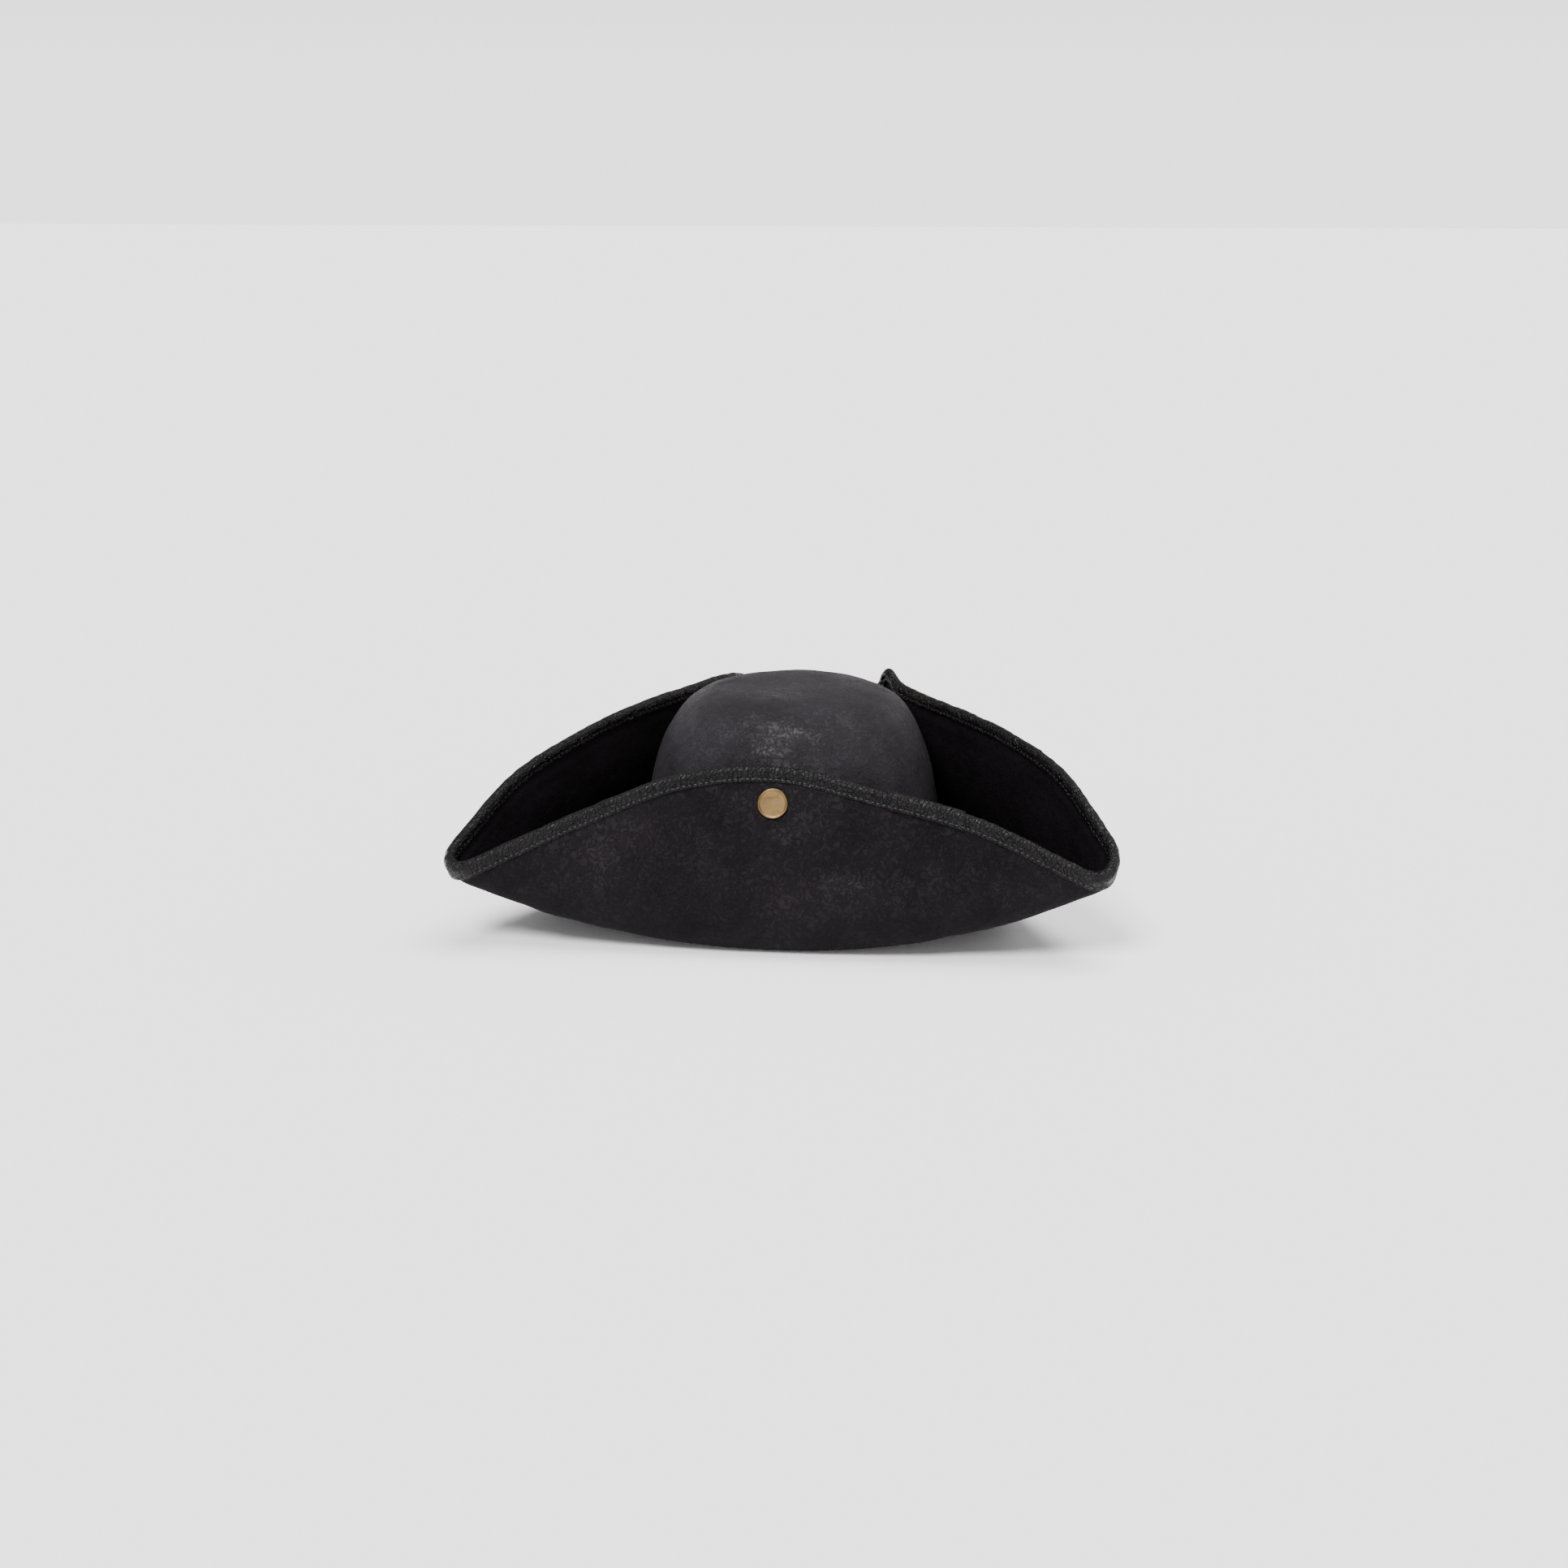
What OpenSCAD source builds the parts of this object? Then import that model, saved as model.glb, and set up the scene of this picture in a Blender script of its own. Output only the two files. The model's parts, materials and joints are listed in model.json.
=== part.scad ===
// Three-cornered pirate hat: a moulded crown on a stiff bound brim whose three sides
// fold up and snap to the crown. +Z is up, -Y is the front, and the brim rests on z = 0.

/* [Head size] */
// Inside width of the sweatband, ear to ear
head_w = 169; // [155:1:180]
// Inside length of the sweatband, forehead to nape
head_l = 202; // [190:1:215]

/* [Crown] */
// Height of the crown's outside over the resting face
crown_h = 128; // [105:1:150]
// Thickness of the crown's moulded shell
crown_wall = 2; // [1.2:0.1:3]
// How squarely the crown's wall stands; more is straighter
crown_wall_power = 5; // [3:0.1:6]
// How flat the crown's top is; more is flatter
crown_top_power = 2.3; // [2:0.1:3]
// Thickness of the cloth lining
lining_wall = 0.5; // [0.4:0.1:1]
// Height of the sweatband inside the crown
band_h = 32; // [20:1:40]
// Thickness of the sweatband
band_wall = 1; // [0.6:0.1:1.4]

/* [Brim] */
// Reach of the left and right corners from the crown's middle, before they are rounded
left_reach = 185; // [175:1:205]
right_reach = 191; // [175:1:205]
// Distance from the crown's middle to the front fold
front_reach = 121; // [116:1:135]
// Distance from the crown's middle to the back corner, before it is rounded
back_reach = 226; // [210:1:245]
// Thickness of the laminated brim
brim_t = 3; // [2:0.1:4]
// Height of the left and back ends of the fold lines over the resting face
fold_h = 40; // [36:1:44]
// Rise of the brim's underside from the crown to the left and back corners
corner_rise = 32; // [24:1:36]
// How much higher the right corner is turned up than the others
right_lift = 5; // [0:0.5:6]
// How far along a fold line each corner starts, from the sharp corner
corner_len = 20; // [16:1:30]
// How far each corner swells as it turns
corner_round = 0.55; // [0.4:0.05:0.7]
// How far inside the fold line the roll starts at a corner
crease_in = 7; // [5:0.5:10]
// Hollow of each turned-up side: 0 is a straight section
side_hollow = 0.6; // [0:0.05:1]
// Flat margin of brim round the foot of the crown
foot_margin = 3; // [1:0.5:6]

/* [Edge binding] */
// Width of the binding on the outside, from the top of its bead
binding_w = 9.4; // [6:0.2:12]
// Width of the binding on the inside
binding_in_w = 7.4; // [6:0.2:12]
// Thickness of the binding strip
binding_t = 0.9; // [0.5:0.1:1.4]
// How far the bead stands proud of the strip's faces
bead_proud = 0.4; // [0:0.1:1]
// Diameter of the spring wire in the edge
wire_d = 1.8; // [1:0.1:2.4]

/* [Snaps] */
// Diameter of the snap cap
cap_d = 17; // [12:0.5:20]
// Thickness of the snap cap
cap_t = 1.7; // [1.2:0.1:2.5]
// Distance from the brim's edge to the middle of a snap
snap_drop = 20.5; // [16:0.5:30]
// Diameter of the socket behind the cap
socket_d = 12.6; // [11:0.1:15]
// Height of the socket
socket_h = 3.2; // [2.6:0.1:4]
// Diameter of the stud's knob
knob_d = 6; // [5:0.1:7]
// Height of the stud's knob
knob_h = 2.4; // [1.8:0.1:2.5]
// Thickness of the stud's foot and of the eyelet's flange
flange_t = 1; // [0.6:0.1:1.2]
// Diameter of the stud's foot
stud_d = 12; // [10:0.1:14]
// Diameter of the posts that pass through the cloth
post_d = 4; // [3:0.1:5]
// Clearance of the knob in its socket, all round
snap_play = 0.6; // [0.5:0.05:0.8]

/* [Hidden] */

// The three sides of the brim, counter-clockwise from above; each ends at its own corner
FRONT = 0;
RIGHT = 1;
LEFT = 2;

// Gap between layers that lie against each other
ply_gap = 0.1;
// Gap between the binding and the cloth inside it
seat_gap = 0.25;
// Gap between the crown's foot and the brim's hole
foot_gap = 0.3;
// Gap left along a fold line, at each end of a side, and between a snap's two halves
fold_gap = 0.4;
end_gap = 0.5;
snap_gap = 0.4;
// Clearance of a post in its hole, and of a cap over the hollow of the cloth
hole_gap = 0.1;
cap_lift = 0.4;
// How far a cut runs past what it cuts, and how long a hole's cutter is
cut_over = 1;
cut_long = 36;
// Step along a curve over which its direction is taken
tiny = 0.01;
// The roll starts this much further in at the middle of a side than at its corners, and
// rises towards them with this power of the place
roll_in = 5.5;
rise_power = 2.1;
// Shares that shape the roll: how far it runs on level, how much its rise adds to that, and
// how far it follows the side above it
roll_level = 0.35;
roll_spread = 0.25;
roll_stand = 0.45;
// Angle of the crown's last ring, and the power that sets how its rings are spread
last_ring = 88;
ring_spread = 0.62;
// How much narrower the stud's neck is than its knob, and the length of post past the eyelet
neck_step = 1;
post_head = 1.4;
// The cap's rim, as a share of the cap's thickness, and the height of the cap's flat
cap_rim = 0.35;
cap_flat = 0.85;

// Height of the finished edge along each side, as [place, height]. Place runs from -1 at the
// side's first corner to 1 at its last; on the right and left sides -1 is the front corner.
front_edge = [[-0.9, 51], [-0.6, 76], [-0.3, 97], [0, 102], [0.3, 91], [0.6, 79], [0.9, 56]];
right_edge = [[-0.9, 70], [-0.7, 95], [-0.45, 108], [-0.2, 113], [0.05, 116], [0.13, 118],
              [0.2, 124], [0.26, 115], [0.5, 99], [0.7, 78], [0.9, 52]];
left_edge = [[-0.9, 58], [-0.7, 84], [-0.45, 101], [-0.2, 111], [0.05, 116], [0.2, 118],
             [0.3, 115], [0.5, 97], [0.7, 75], [0.9, 52]];
// How far the edge leans in towards the crown along a side, as a share of the lean at its snap
front_lean = [[-0.9, -0.15], [-0.6, 0.35], [-0.3, 0.8], [0, 1], [0.3, 0.8], [0.6, 0.35],
              [0.9, -0.15]];
side_lean = [[-0.9, -0.1], [-0.7, 0.08], [-0.45, 0.36], [-0.2, 0.64], [0.05, 0.92], [0.2, 1.06],
             [0.4, 0.72], [0.65, 0.22], [0.9, -0.1]];
// Place of the snap on the right and left sides; the front one is on the crown's middle
side_snap_at = 0.14;
// Places where the binding's end lap starts and stops on the front
lap_from = 0.32;
lap_to = 0.55;

// How many steps there are along a side, along the lap, round a corner, and across each
// stretch of the brim's section
side_steps = 20;
lap_steps = 5;
corner_steps = 6;
floor_rows = 4;
roll_rows = 5;
flap_rows = 5;
crown_sides = 40;
crown_rows = 12;

// Half axes of the crown at its foot, inside and outside, and of the brim's flat margin
crown_in = [head_w, head_l] / 2 + (band_wall + lining_wall + 2 * ply_gap) * [1, 1];
crown_out = crown_in + crown_wall * [1, 1];
brim_hole = crown_out + foot_gap * [1, 1];
flat_edge = crown_out + foot_margin * [1, 1];
// The binding's faces, from the middle of the cloth, and its bead, whose centre is the wire
binding_in = brim_t / 2 + seat_gap;
binding_out = binding_in + binding_t;
bead_r = binding_out + bead_proud;
// The cloth stops just short of the wire
cloth_stop = wire_d / 2 + 2 * ply_gap;
// Distance from the crown's skin to the middle of the brim's cloth at a snap
snap_stack = brim_t / 2 + socket_h + snap_gap + flange_t;

// ---- Curves ----

function unit(v) = v / norm(v);
function bezier(a, b, c, d, t) =
    let (s = 1 - t) s * s * s * a + 3 * s * s * t * b + 3 * s * t * t * c + t * t * t * d;
function ease(t) = t * t * (3 - 2 * t);
function chord_slope(pts, i) = (pts[i + 1][1] - pts[i][1]) / (pts[i + 1][0] - pts[i][0]);
function slope(pts, i) =
    i == 0 ? chord_slope(pts, 0)
    : i == len(pts) - 1 ? chord_slope(pts, i - 1)
    : let (back = pts[i][0] - pts[i - 1][0], ahead = pts[i + 1][0] - pts[i][0])
      (chord_slope(pts, i - 1) * ahead + chord_slope(pts, i) * back) / (back + ahead);
// A smooth cubic curve through [place, value] points
function along(pts, x) =
    let (
        i = max([for (j = [0:len(pts) - 2]) if (j == 0 || x > pts[j][0]) j]),
        h = pts[i + 1][0] - pts[i][0],
        s = (x - pts[i][0]) / h,
        value = ease(1 - s) * pts[i][1] + ease(s) * pts[i + 1][1],
        rise = s * (1 - s) * h * ((1 - s) * slope(pts, i) - s * slope(pts, i + 1))
    )
    value + rise;

// ---- Crown: an oval whose half axes shrink by a share that depends on the height ----

function share_at(z, h) = pow(max(0, 1 - pow(z / h, crown_top_power)), 1 / crown_wall_power);
function height_at(share, h) = h * pow(1 - pow(share, crown_wall_power), 1 / crown_top_power);
function oval(half, z) = [
    for (i = [0:crown_sides - 1])
    let (a = 360 * i / crown_sides)
    [half[0] * cos(a), half[1] * sin(a), z]
];
// Rings up a dome, from its foot to a small flat top
function dome(half, h) = [
    for (j = [0:crown_rows])
    let (share = pow(cos(last_ring * j / crown_rows), ring_spread))
    oval(half * share, height_at(share, h))
];
// How far out of side k's fold line the crown's skin is, at place x and height z, with the
// share of the crown's own direction there that faces the side
function crown_q(k, x, z) =
    let (
        half = crown_out * share_at(z, crown_h),
        weigh = [1 / pow(half[0], 2), 1 / pow(half[1], 2)],
        base = flat(on_side(k, x, 0, 0)),
        n = side_out(k),
        a = (n * n[0])[0] * weigh[0] + (n * n[1])[1] * weigh[1],
        b = base[0] * n[0] * weigh[0] + base[1] * n[1] * weigh[1],
        c = pow(base[0], 2) * weigh[0] + pow(base[1], 2) * weigh[1] - 1,
        q = (sqrt(b * b - a * c) - b) / a,
        p = base + n * q,
        facing = unit([p[0] * weigh[0], p[1] * weigh[1]])
    )
    [q, facing * n];

// ---- Brim: its sides stand on a triangle of fold lines ----

corners = [[-left_reach, -front_reach], [right_reach, -front_reach], [0, back_reach]];
corner_lift = [0, right_lift, 0];

function side_mid(k) = (corners[k] + corners[(k + 1) % 3]) / 2;
function side_half(k) = norm(corners[(k + 1) % 3] - corners[k]) / 2;
function side_dir(k) = unit(corners[(k + 1) % 3] - corners[k]);
function side_out(k) = let (d = side_dir(k)) [d[1], -d[0]];
function flat(p) = [p[0], p[1]];
// The point at place x along side k, q outward of the fold line, at height z
function on_side(k, x, q, z) =
    let (p = side_mid(k) + side_dir(k) * side_half(k) * x + side_out(k) * q) [p[0], p[1], z];
function from_front(k, x) = k == LEFT ? -x : x;
function edge_z(k, x) =
    along(k == FRONT ? front_edge : k == RIGHT ? right_edge : left_edge, from_front(k, x));
// A section across a sloping edge is longer than one square to it
function stretch(k, x) =
    let (rise = (edge_z(k, x + tiny) - edge_z(k, x - tiny)) / (2 * tiny * side_half(k)))
    sqrt(1 + rise * rise);
function wire_z(k, x) = edge_z(k, x) - bead_r * stretch(k, x);
// The fold lines are straight, and each runs from its first corner's height to its last's
function fold_z(k, x) =
    fold_h + corner_lift[k] * (1 - x) / 2 + corner_lift[(k + 1) % 3] * (1 + x) / 2;

// Where side k's snap is: its place, its share of the way up, and the lean it needs
function snap_x(k) =
    k == FRONT ? -side_mid(k)[0] / side_half(k) : from_front(k, side_snap_at);
function snap_v(k) =
    let (x = snap_x(k), low = fold_z(k, x))
    (edge_z(k, x) - snap_drop - low) / (wire_z(k, x) - low);
function lean(k, x) = along(k == FRONT ? front_lean : side_lean, from_front(k, x));
function bowed(v) = v + side_hollow * v * (1 - v);
function snap_lean(k) =
    let (x = snap_x(k), hit = crown_q(k, x, edge_z(k, x) - snap_drop))
    (hit[0] + snap_stack / hit[1]) / bowed(snap_v(k)) / lean(k, x);

// Middle of the cloth on a side, as [out, up]: v is 0 at the fold line and 1 at the wire
function flap_qz(k, x, v) =
    let (low = fold_z(k, x)) [snap_lean(k) * lean(k, x) * bowed(v), low + (wire_z(k, x) - low) * v];
function flap_up(k, x, v) = unit(flap_qz(k, x, v + tiny) - flap_qz(k, x, v - tiny));
function flap_len(k, x) = norm(flap_qz(k, x, 1) - flap_qz(k, x, 0));
// The share of the way up that is a distance below the wire, square to the edge
function below_wire(k, x, drop) = 1 - drop * stretch(k, x) / flap_len(k, x);
// Middle of the cloth in the roll below it: t is 0 on the floor and 1 at the fold line
function roll_start(k, x) =
    let (
        end = abs(x) / corner_x(k),
        rise = corner_rise + corner_lift[x < 0 ? k : (k + 1) % 3]
    )
    [-crease_in - roll_in * (1 - end * end), brim_t / 2 + rise * pow(end, rise_power)];
function roll_qz(k, x, t) =
    let (
        a = roll_start(k, x),
        d = [0, fold_z(k, x)],
        rise = d[1] - a[1],
        b = a - [roll_level * a[0] - roll_spread * rise, 0],
        c = d - roll_stand * rise * flap_up(k, x, 0)
    )
    bezier(a, b, c, d, t);
function roll_up(k, x, t) = unit(roll_qz(k, x, t + tiny) - roll_qz(k, x, t - tiny));
// A point on the cloth's face: out is 1 for its outside and -1 for its inside
function face(k, x, middle, up, out) =
    let (p = middle + out * brim_t / 2 * [up[1], -up[0]]) on_side(k, x, p[0], p[1]);

// The points of one face of the brim across place x of side k: the roll, up to the fold
// line, and then the turned-up side
function roll_line(k, x, out) = [
    for (i = [0:roll_rows])
    let (
        t = i / roll_rows,
        up = i == 0 ? [1, 0] : roll_up(k, x, t),
        short = i == roll_rows ? fold_gap / 2 * up : [0, 0]
    )
    face(k, x, roll_qz(k, x, t) - short, up, out)
];
function flap_line(k, x, out) = [
    for (i = [0:flap_rows])
    let (
        v0 = fold_gap / 2 / flap_len(k, x),
        v1 = below_wire(k, x, skirt),
        v = i == flap_rows ? below_wire(k, x, cloth_stop) : v0 + (v1 - v0) * i / (flap_rows - 1)
    )
    face(k, x, flap_qz(k, x, v), flap_up(k, x, v), out)
];
// Both stretches as one line; the corners keep them joined
function side_line(k, x, out) =
    concat(roll_line(k, x, out), [for (i = [1:flap_rows]) flap_line(k, x, out)[i]]);

// An outline, as [down from the wire, out of the cloth], laid on side k's edge at place x. It
// follows the cloth below the wire.
function edge_loop(k, x, outline) = [
    for (o = outline)
    let (
        v = below_wire(k, x, max(0, o[0])),
        up = flap_up(k, x, v),
        past = max(0, -o[0]) * stretch(k, x),
        p = flap_qz(k, x, v) + up * past + [up[1], -up[0]] * o[1]
    )
    on_side(k, x, p[0], p[1])
];

// The places where sides end and corners start
function corner_x(k) = 1 - corner_len / side_half(k);
function flap_x(k) = 1 - (corner_len + end_gap) / side_half(k);
// Carries the points of side k's last section round to the next side's first one, where
// ends gives the section at [side, place]
function rounded(ends, t) = [
    for (i = [0:len(ends[0]) - 1])
    let (reach = corner_round * norm(ends[2][i] - ends[0][i]))
    bezier(
        ends[0][i], ends[0][i] + reach * unit(ends[0][i] - ends[1][i]),
        ends[2][i] + reach * unit(ends[2][i] - ends[3][i]), ends[2][i], t
    )
];
function corner_edges(k, outline) =
    let (j = (k + 1) % 3)
    [
        edge_loop(k, corner_x(k), outline), edge_loop(k, corner_x(k) - tiny, outline),
        edge_loop(j, -corner_x(j), outline), edge_loop(j, tiny - corner_x(j), outline)
    ];
function corner_lines(k, out) =
    let (j = (k + 1) % 3)
    [
        side_line(k, corner_x(k), out), side_line(k, corner_x(k) - tiny, out),
        side_line(j, -corner_x(j), out), side_line(j, tiny - corner_x(j), out)
    ];

// One face of the brim at a station: floor, roll and side, from the hole outwards
function with_floor(line, out) =
    let (
        mid_z = line[0][2] + out * brim_t / 2,
        a = atan2(line[0][1] / flat_edge[1], line[0][0] / flat_edge[0]),
        hole = [brim_hole[0] * cos(a), brim_hole[1] * sin(a)],
        edge = [flat_edge[0] * cos(a), flat_edge[1] * sin(a)],
        low = (1 - out) * brim_t / 2
    )
    concat(
        [[hole[0], hole[1], low]],
        [
            for (i = [0:floor_rows - 1])
            let (t = i / floor_rows, p = edge + (flat(line[0]) - edge) * t)
            [p[0], p[1], low + (mid_z - brim_t / 2) * ease(t)]
        ],
        line
    );
// All the stations round the brim: each side from corner to corner, then its corner
function brim_stations(out) = [
    for (k = [FRONT:LEFT])
    each concat(
        [
            for (i = [0:side_steps])
            let (x = corner_x(k) * (2 * i / side_steps - 1))
            with_floor(side_line(k, x, out), out)
        ],
        [
            for (i = [1:corner_steps - 1])
            with_floor(rounded(corner_lines(k, out), i / corner_steps), out)
        ]
    )
];

// The binding's section: down over the outside, round the bead and under the inside
skirt = binding_w - bead_r;
skirt_in = binding_in_w - bead_r;
binding_outline = [
    [skirt, binding_out], [bead_r, binding_out],
    for (a = [90:45:270]) bead_r * [cos(a), sin(a)],
    [bead_r, -binding_out], [skirt_in, -binding_out],
    [skirt_in, -binding_in],
    for (a = [270:-45:90]) binding_in * [cos(a), sin(a)],
    [skirt, binding_in]
];
wire_outline = [for (a = [0:45:315]) wire_d / 2 * [cos(a), sin(a)]];
// The lap wraps the binding the same way
lap_in = bead_r + ply_gap;
lap_out = lap_in + binding_t;
lap_outline = [
    [skirt, lap_out],
    for (a = [90:30:270]) lap_out * [cos(a), sin(a)],
    [skirt_in, -lap_out], [skirt_in, -lap_in],
    for (a = [270:-30:90]) lap_in * [cos(a), sin(a)],
    [skirt, lap_in]
];

// ---- Solids ----

function quad(a, b, c, d) = [[a, b, c], [a, c, d]];
// Joins closed loops of equal length into a tube with flat ends. Each four-sided face is
// split from its first corner, or from its second if turned.
module skin(loops, turned = false) {
    n = len(loops[0]);
    last = (len(loops) - 1) * n;
    faces = [
        for (j = [0:len(loops) - 2], i = [0:n - 1])
        let (a = j * n + i, b = j * n + (i + 1) % n, c = b + n, d = a + n)
        each turned ? quad(b, c, d, a) : quad(a, b, c, d)
    ];
    ends = [[for (i = [n - 1:-1:0]) i], [for (i = [0:n - 1]) last + i]];
    polyhedron([for (l = loops) each l], concat(faces, ends), convexity = 8);
}
function reversed(list) = [for (i = [len(list) - 1:-1:0]) list[i]];
// A dome's skin, inside and out, joined round its foot
module shell(half, h, wall) {
    skin(concat(reversed(dome(half, h)), dome(half - wall * [1, 1], h - wall)));
}
module dome_solid(half, h) {
    skin(reversed(dome(half, h)));
}

module at_snap(k) {
    x = snap_x(k);
    v = snap_v(k);
    p = flap_qz(k, x, v);
    ahead = flap_qz(k, x + tiny, v);
    back = flap_qz(k, x - tiny, v);
    run = on_side(k, x + tiny, ahead[0], ahead[1]) - on_side(k, x - tiny, back[0], back[1]);
    up = flap_up(k, x, v);
    rise = on_side(k, x, up[0], up[1]) - on_side(k, x, 0, 0);
    n = unit(cross(run, rise));
    translate(on_side(k, x, p[0], p[1]))
    rotate([0, acos(n[2]), atan2(n[1], n[0])])
    children();
}
module post_hole() {
    cylinder(h = cut_long, d = post_d + 2 * hole_gap, center = true, $fn = 32);
}

module crown_shell() {
    color("#38343a")
    difference() {
        shell(crown_out, crown_h, crown_wall);
        for (k = [FRONT:LEFT]) at_snap(k) post_hole();
    }
}
module crown_lining() {
    color("#17161a")
    difference() {
        shell(crown_in - ply_gap * [1, 1], crown_h - crown_wall - ply_gap, lining_wall);
        for (k = [FRONT:LEFT]) at_snap(k) post_hole();
    }
}
module sweatband() {
    half = [head_w, head_l] / 2 + band_wall * [1, 1];
    top = crown_h - crown_wall - lining_wall - 2 * ply_gap;
    color("#1d1b1e")
    intersection() {
        shell(half, top, band_wall);
        linear_extrude(band_h) square(2 * head_l, center = true);
    }
}

// The floor, the rolls under the three sides, and the corners, which reach up to the wire
module brim_base() {
    inner = brim_stations(-1);
    outer = brim_stations(1);
    m = len(inner);
    rows = len(inner[0]);
    low_rows = rows - flap_rows;
    span = side_steps + corner_steps;
    function in_at(j, i) = (j % m) * rows + i;
    function out_at(j, i) = (m + j % m) * rows + i;
    walls = [
        for (j = [0:m - 1])
        let (top = (j % span < side_steps ? low_rows : rows) - 1)
        each concat(
            [
                for (i = [0:top - 1])
                each concat(
                    quad(in_at(j, i), in_at(j, i + 1), in_at(j + 1, i + 1), in_at(j + 1, i)),
                    quad(out_at(j, i + 1), out_at(j, i), out_at(j + 1, i), out_at(j + 1, i + 1))
                )
            ],
            quad(in_at(j, top), out_at(j, top), out_at(j + 1, top), in_at(j + 1, top)),
            quad(out_at(j, 0), in_at(j, 0), in_at(j + 1, 0), out_at(j + 1, 0))
        )
    ];
    ends = [
        for (k = [FRONT:LEFT], i = [low_rows - 1:rows - 2])
        let (first = k * span, last = first + side_steps)
        each concat(
            quad(in_at(last, i), out_at(last, i), out_at(last, i + 1), in_at(last, i + 1)),
            quad(in_at(first, i), in_at(first, i + 1), out_at(first, i + 1), out_at(first, i))
        )
    ];
    color("#201d20")
    polyhedron(
        [for (s = concat(inner, outer)) each s],
        [for (f = concat(walls, ends)) reversed(f)],
        convexity = 10
    );
}

module flap(k) {
    color("#242024")
    difference() {
        skin([
            for (i = [0:side_steps])
            let (x = flap_x(k) * (2 * i / side_steps - 1))
            concat(flap_line(k, x, 1), reversed(flap_line(k, x, -1)))
        ]);
        at_snap(k) {
            post_hole();
            // The cap presses its seat flat
            translate([0, 0, cap_bottom - hole_gap])
            cylinder(h = cut_long, d = cap_d + 4 * hole_gap, $fn = 64);
        }
    }
}
// Its faces are split the way that the cloth's are
module edge_piece(k, outline, from, to, steps) {
    skin([for (i = [0:steps]) edge_loop(k, from + (to - from) * i / steps, outline)], turned = true);
}
module binding(k) {
    color("#121212") edge_piece(k, binding_outline, -flap_x(k), flap_x(k), side_steps);
}
module wire(k) {
    color("#8a8a8c") edge_piece(k, wire_outline, -flap_x(k), flap_x(k), side_steps);
}
module binding_lap() {
    color("#121212") edge_piece(FRONT, lap_outline, lap_from, lap_to, lap_steps);
}
module corner_piece(k, outline) {
    ends = corner_edges(k, outline);
    skin([for (i = [0:corner_steps]) rounded(ends, i / corner_steps)]);
}
module corner_binding(k) {
    color("#121212") corner_piece(k, binding_outline);
}
module corner_wires() {
    color("#8a8a8c") for (k = [FRONT:LEFT]) corner_piece(k, wire_outline);
}

// Levels along a snap's axis, from the middle of the cloth
cap_bottom = brim_t / 2 + cap_lift;
socket_top = -brim_t / 2;
socket_mouth = socket_top - socket_h;
stud_face = socket_mouth - snap_gap;
socket_floor = stud_face + knob_h + snap_gap;
post_end = stud_face - flange_t - crown_wall - lining_wall - flange_t - post_head;

// The cap's shank passes through the cloth and the socket's floor
module snap_cap(k) {
    rim = cap_rim * cap_t;
    face_r = cap_d / 2 - rim;
    middle = cap_bottom + cap_t / 2;
    color("#b0946a")
    at_snap(k) {
        rotate_extrude($fn = 64)
        polygon([
            [0, cap_bottom], [face_r, cap_bottom],
            for (a = [-60:30:60]) [face_r + rim * cos(a), middle + cap_t / 2 * sin(a)],
            [face_r, cap_bottom + cap_t], [face_r - rim, cap_bottom + cap_flat * cap_t],
            [0, cap_bottom + cap_t]
        ]);
        translate([0, 0, socket_floor]) cylinder(h = cap_bottom - socket_floor, d = post_d, $fn = 32);
    }
}
module snap_socket(k) {
    color("#9a8260")
    at_snap(k)
    difference() {
        translate([0, 0, socket_mouth]) cylinder(h = socket_h, d = socket_d, $fn = 48);
        translate([0, 0, socket_mouth - cut_over])
        cylinder(h = socket_floor - socket_mouth + cut_over, d = knob_d + 2 * snap_play, $fn = 48);
        post_hole();
    }
}
// The stud's foot is shaped to the crown, and its post passes through shell and lining
module snap_stud(k) {
    skin_gap = ply_gap / 2;
    sunk = flange_t + crown_wall;
    color("#9a8260")
    difference() {
        at_snap(k) {
            translate([0, 0, stud_face - sunk]) cylinder(h = sunk, d = stud_d, $fn = 48);
            translate([0, 0, stud_face - ply_gap])
            cylinder(h = knob_h - ply_gap, d = knob_d - neck_step, $fn = 48);
            translate([0, 0, stud_face + knob_h / 2]) cylinder(h = knob_h / 2, d = knob_d, $fn = 48);
        }
        dome_solid(crown_out + skin_gap * [1, 1], crown_h + skin_gap);
    }
    color("#9a8260")
    at_snap(k)
    translate([0, 0, post_end]) cylinder(h = stud_face - post_end, d = post_d, $fn = 32);
}
module snap_eyelet(k) {
    under = ply_gap + lining_wall;
    color("#9a8260")
    difference() {
        intersection() {
            at_snap(k)
            translate([0, 0, post_end + 3 * ply_gap]) cylinder(h = 2 * crown_wall, d = stud_d, $fn = 48);
            dome_solid(crown_in - (ply_gap + under) * [1, 1], crown_h - crown_wall - ply_gap - under);
        }
        at_snap(k) post_hole();
    }
}

crown_shell();
crown_lining();
sweatband();
brim_base();
flap(FRONT);  // front_flap
flap(RIGHT);  // right_flap
flap(LEFT);  // left_flap
binding(FRONT);  // front_binding
binding(RIGHT);  // right_binding
binding(LEFT);  // left_binding
binding_lap();
wire(FRONT);  // front_wire
wire(RIGHT);  // right_wire
wire(LEFT);  // left_wire
corner_binding(FRONT);  // right_corner_binding
corner_binding(RIGHT);  // back_corner_binding
corner_binding(LEFT);  // left_corner_binding
corner_wires();
snap_cap(FRONT);  // front_snap_cap
snap_cap(RIGHT);  // right_snap_cap
snap_cap(LEFT);  // left_snap_cap
snap_socket(FRONT);  // front_snap_socket
snap_socket(RIGHT);  // right_snap_socket
snap_socket(LEFT);  // left_snap_socket
snap_stud(FRONT);  // front_snap_stud
snap_stud(RIGHT);  // right_snap_stud
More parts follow.
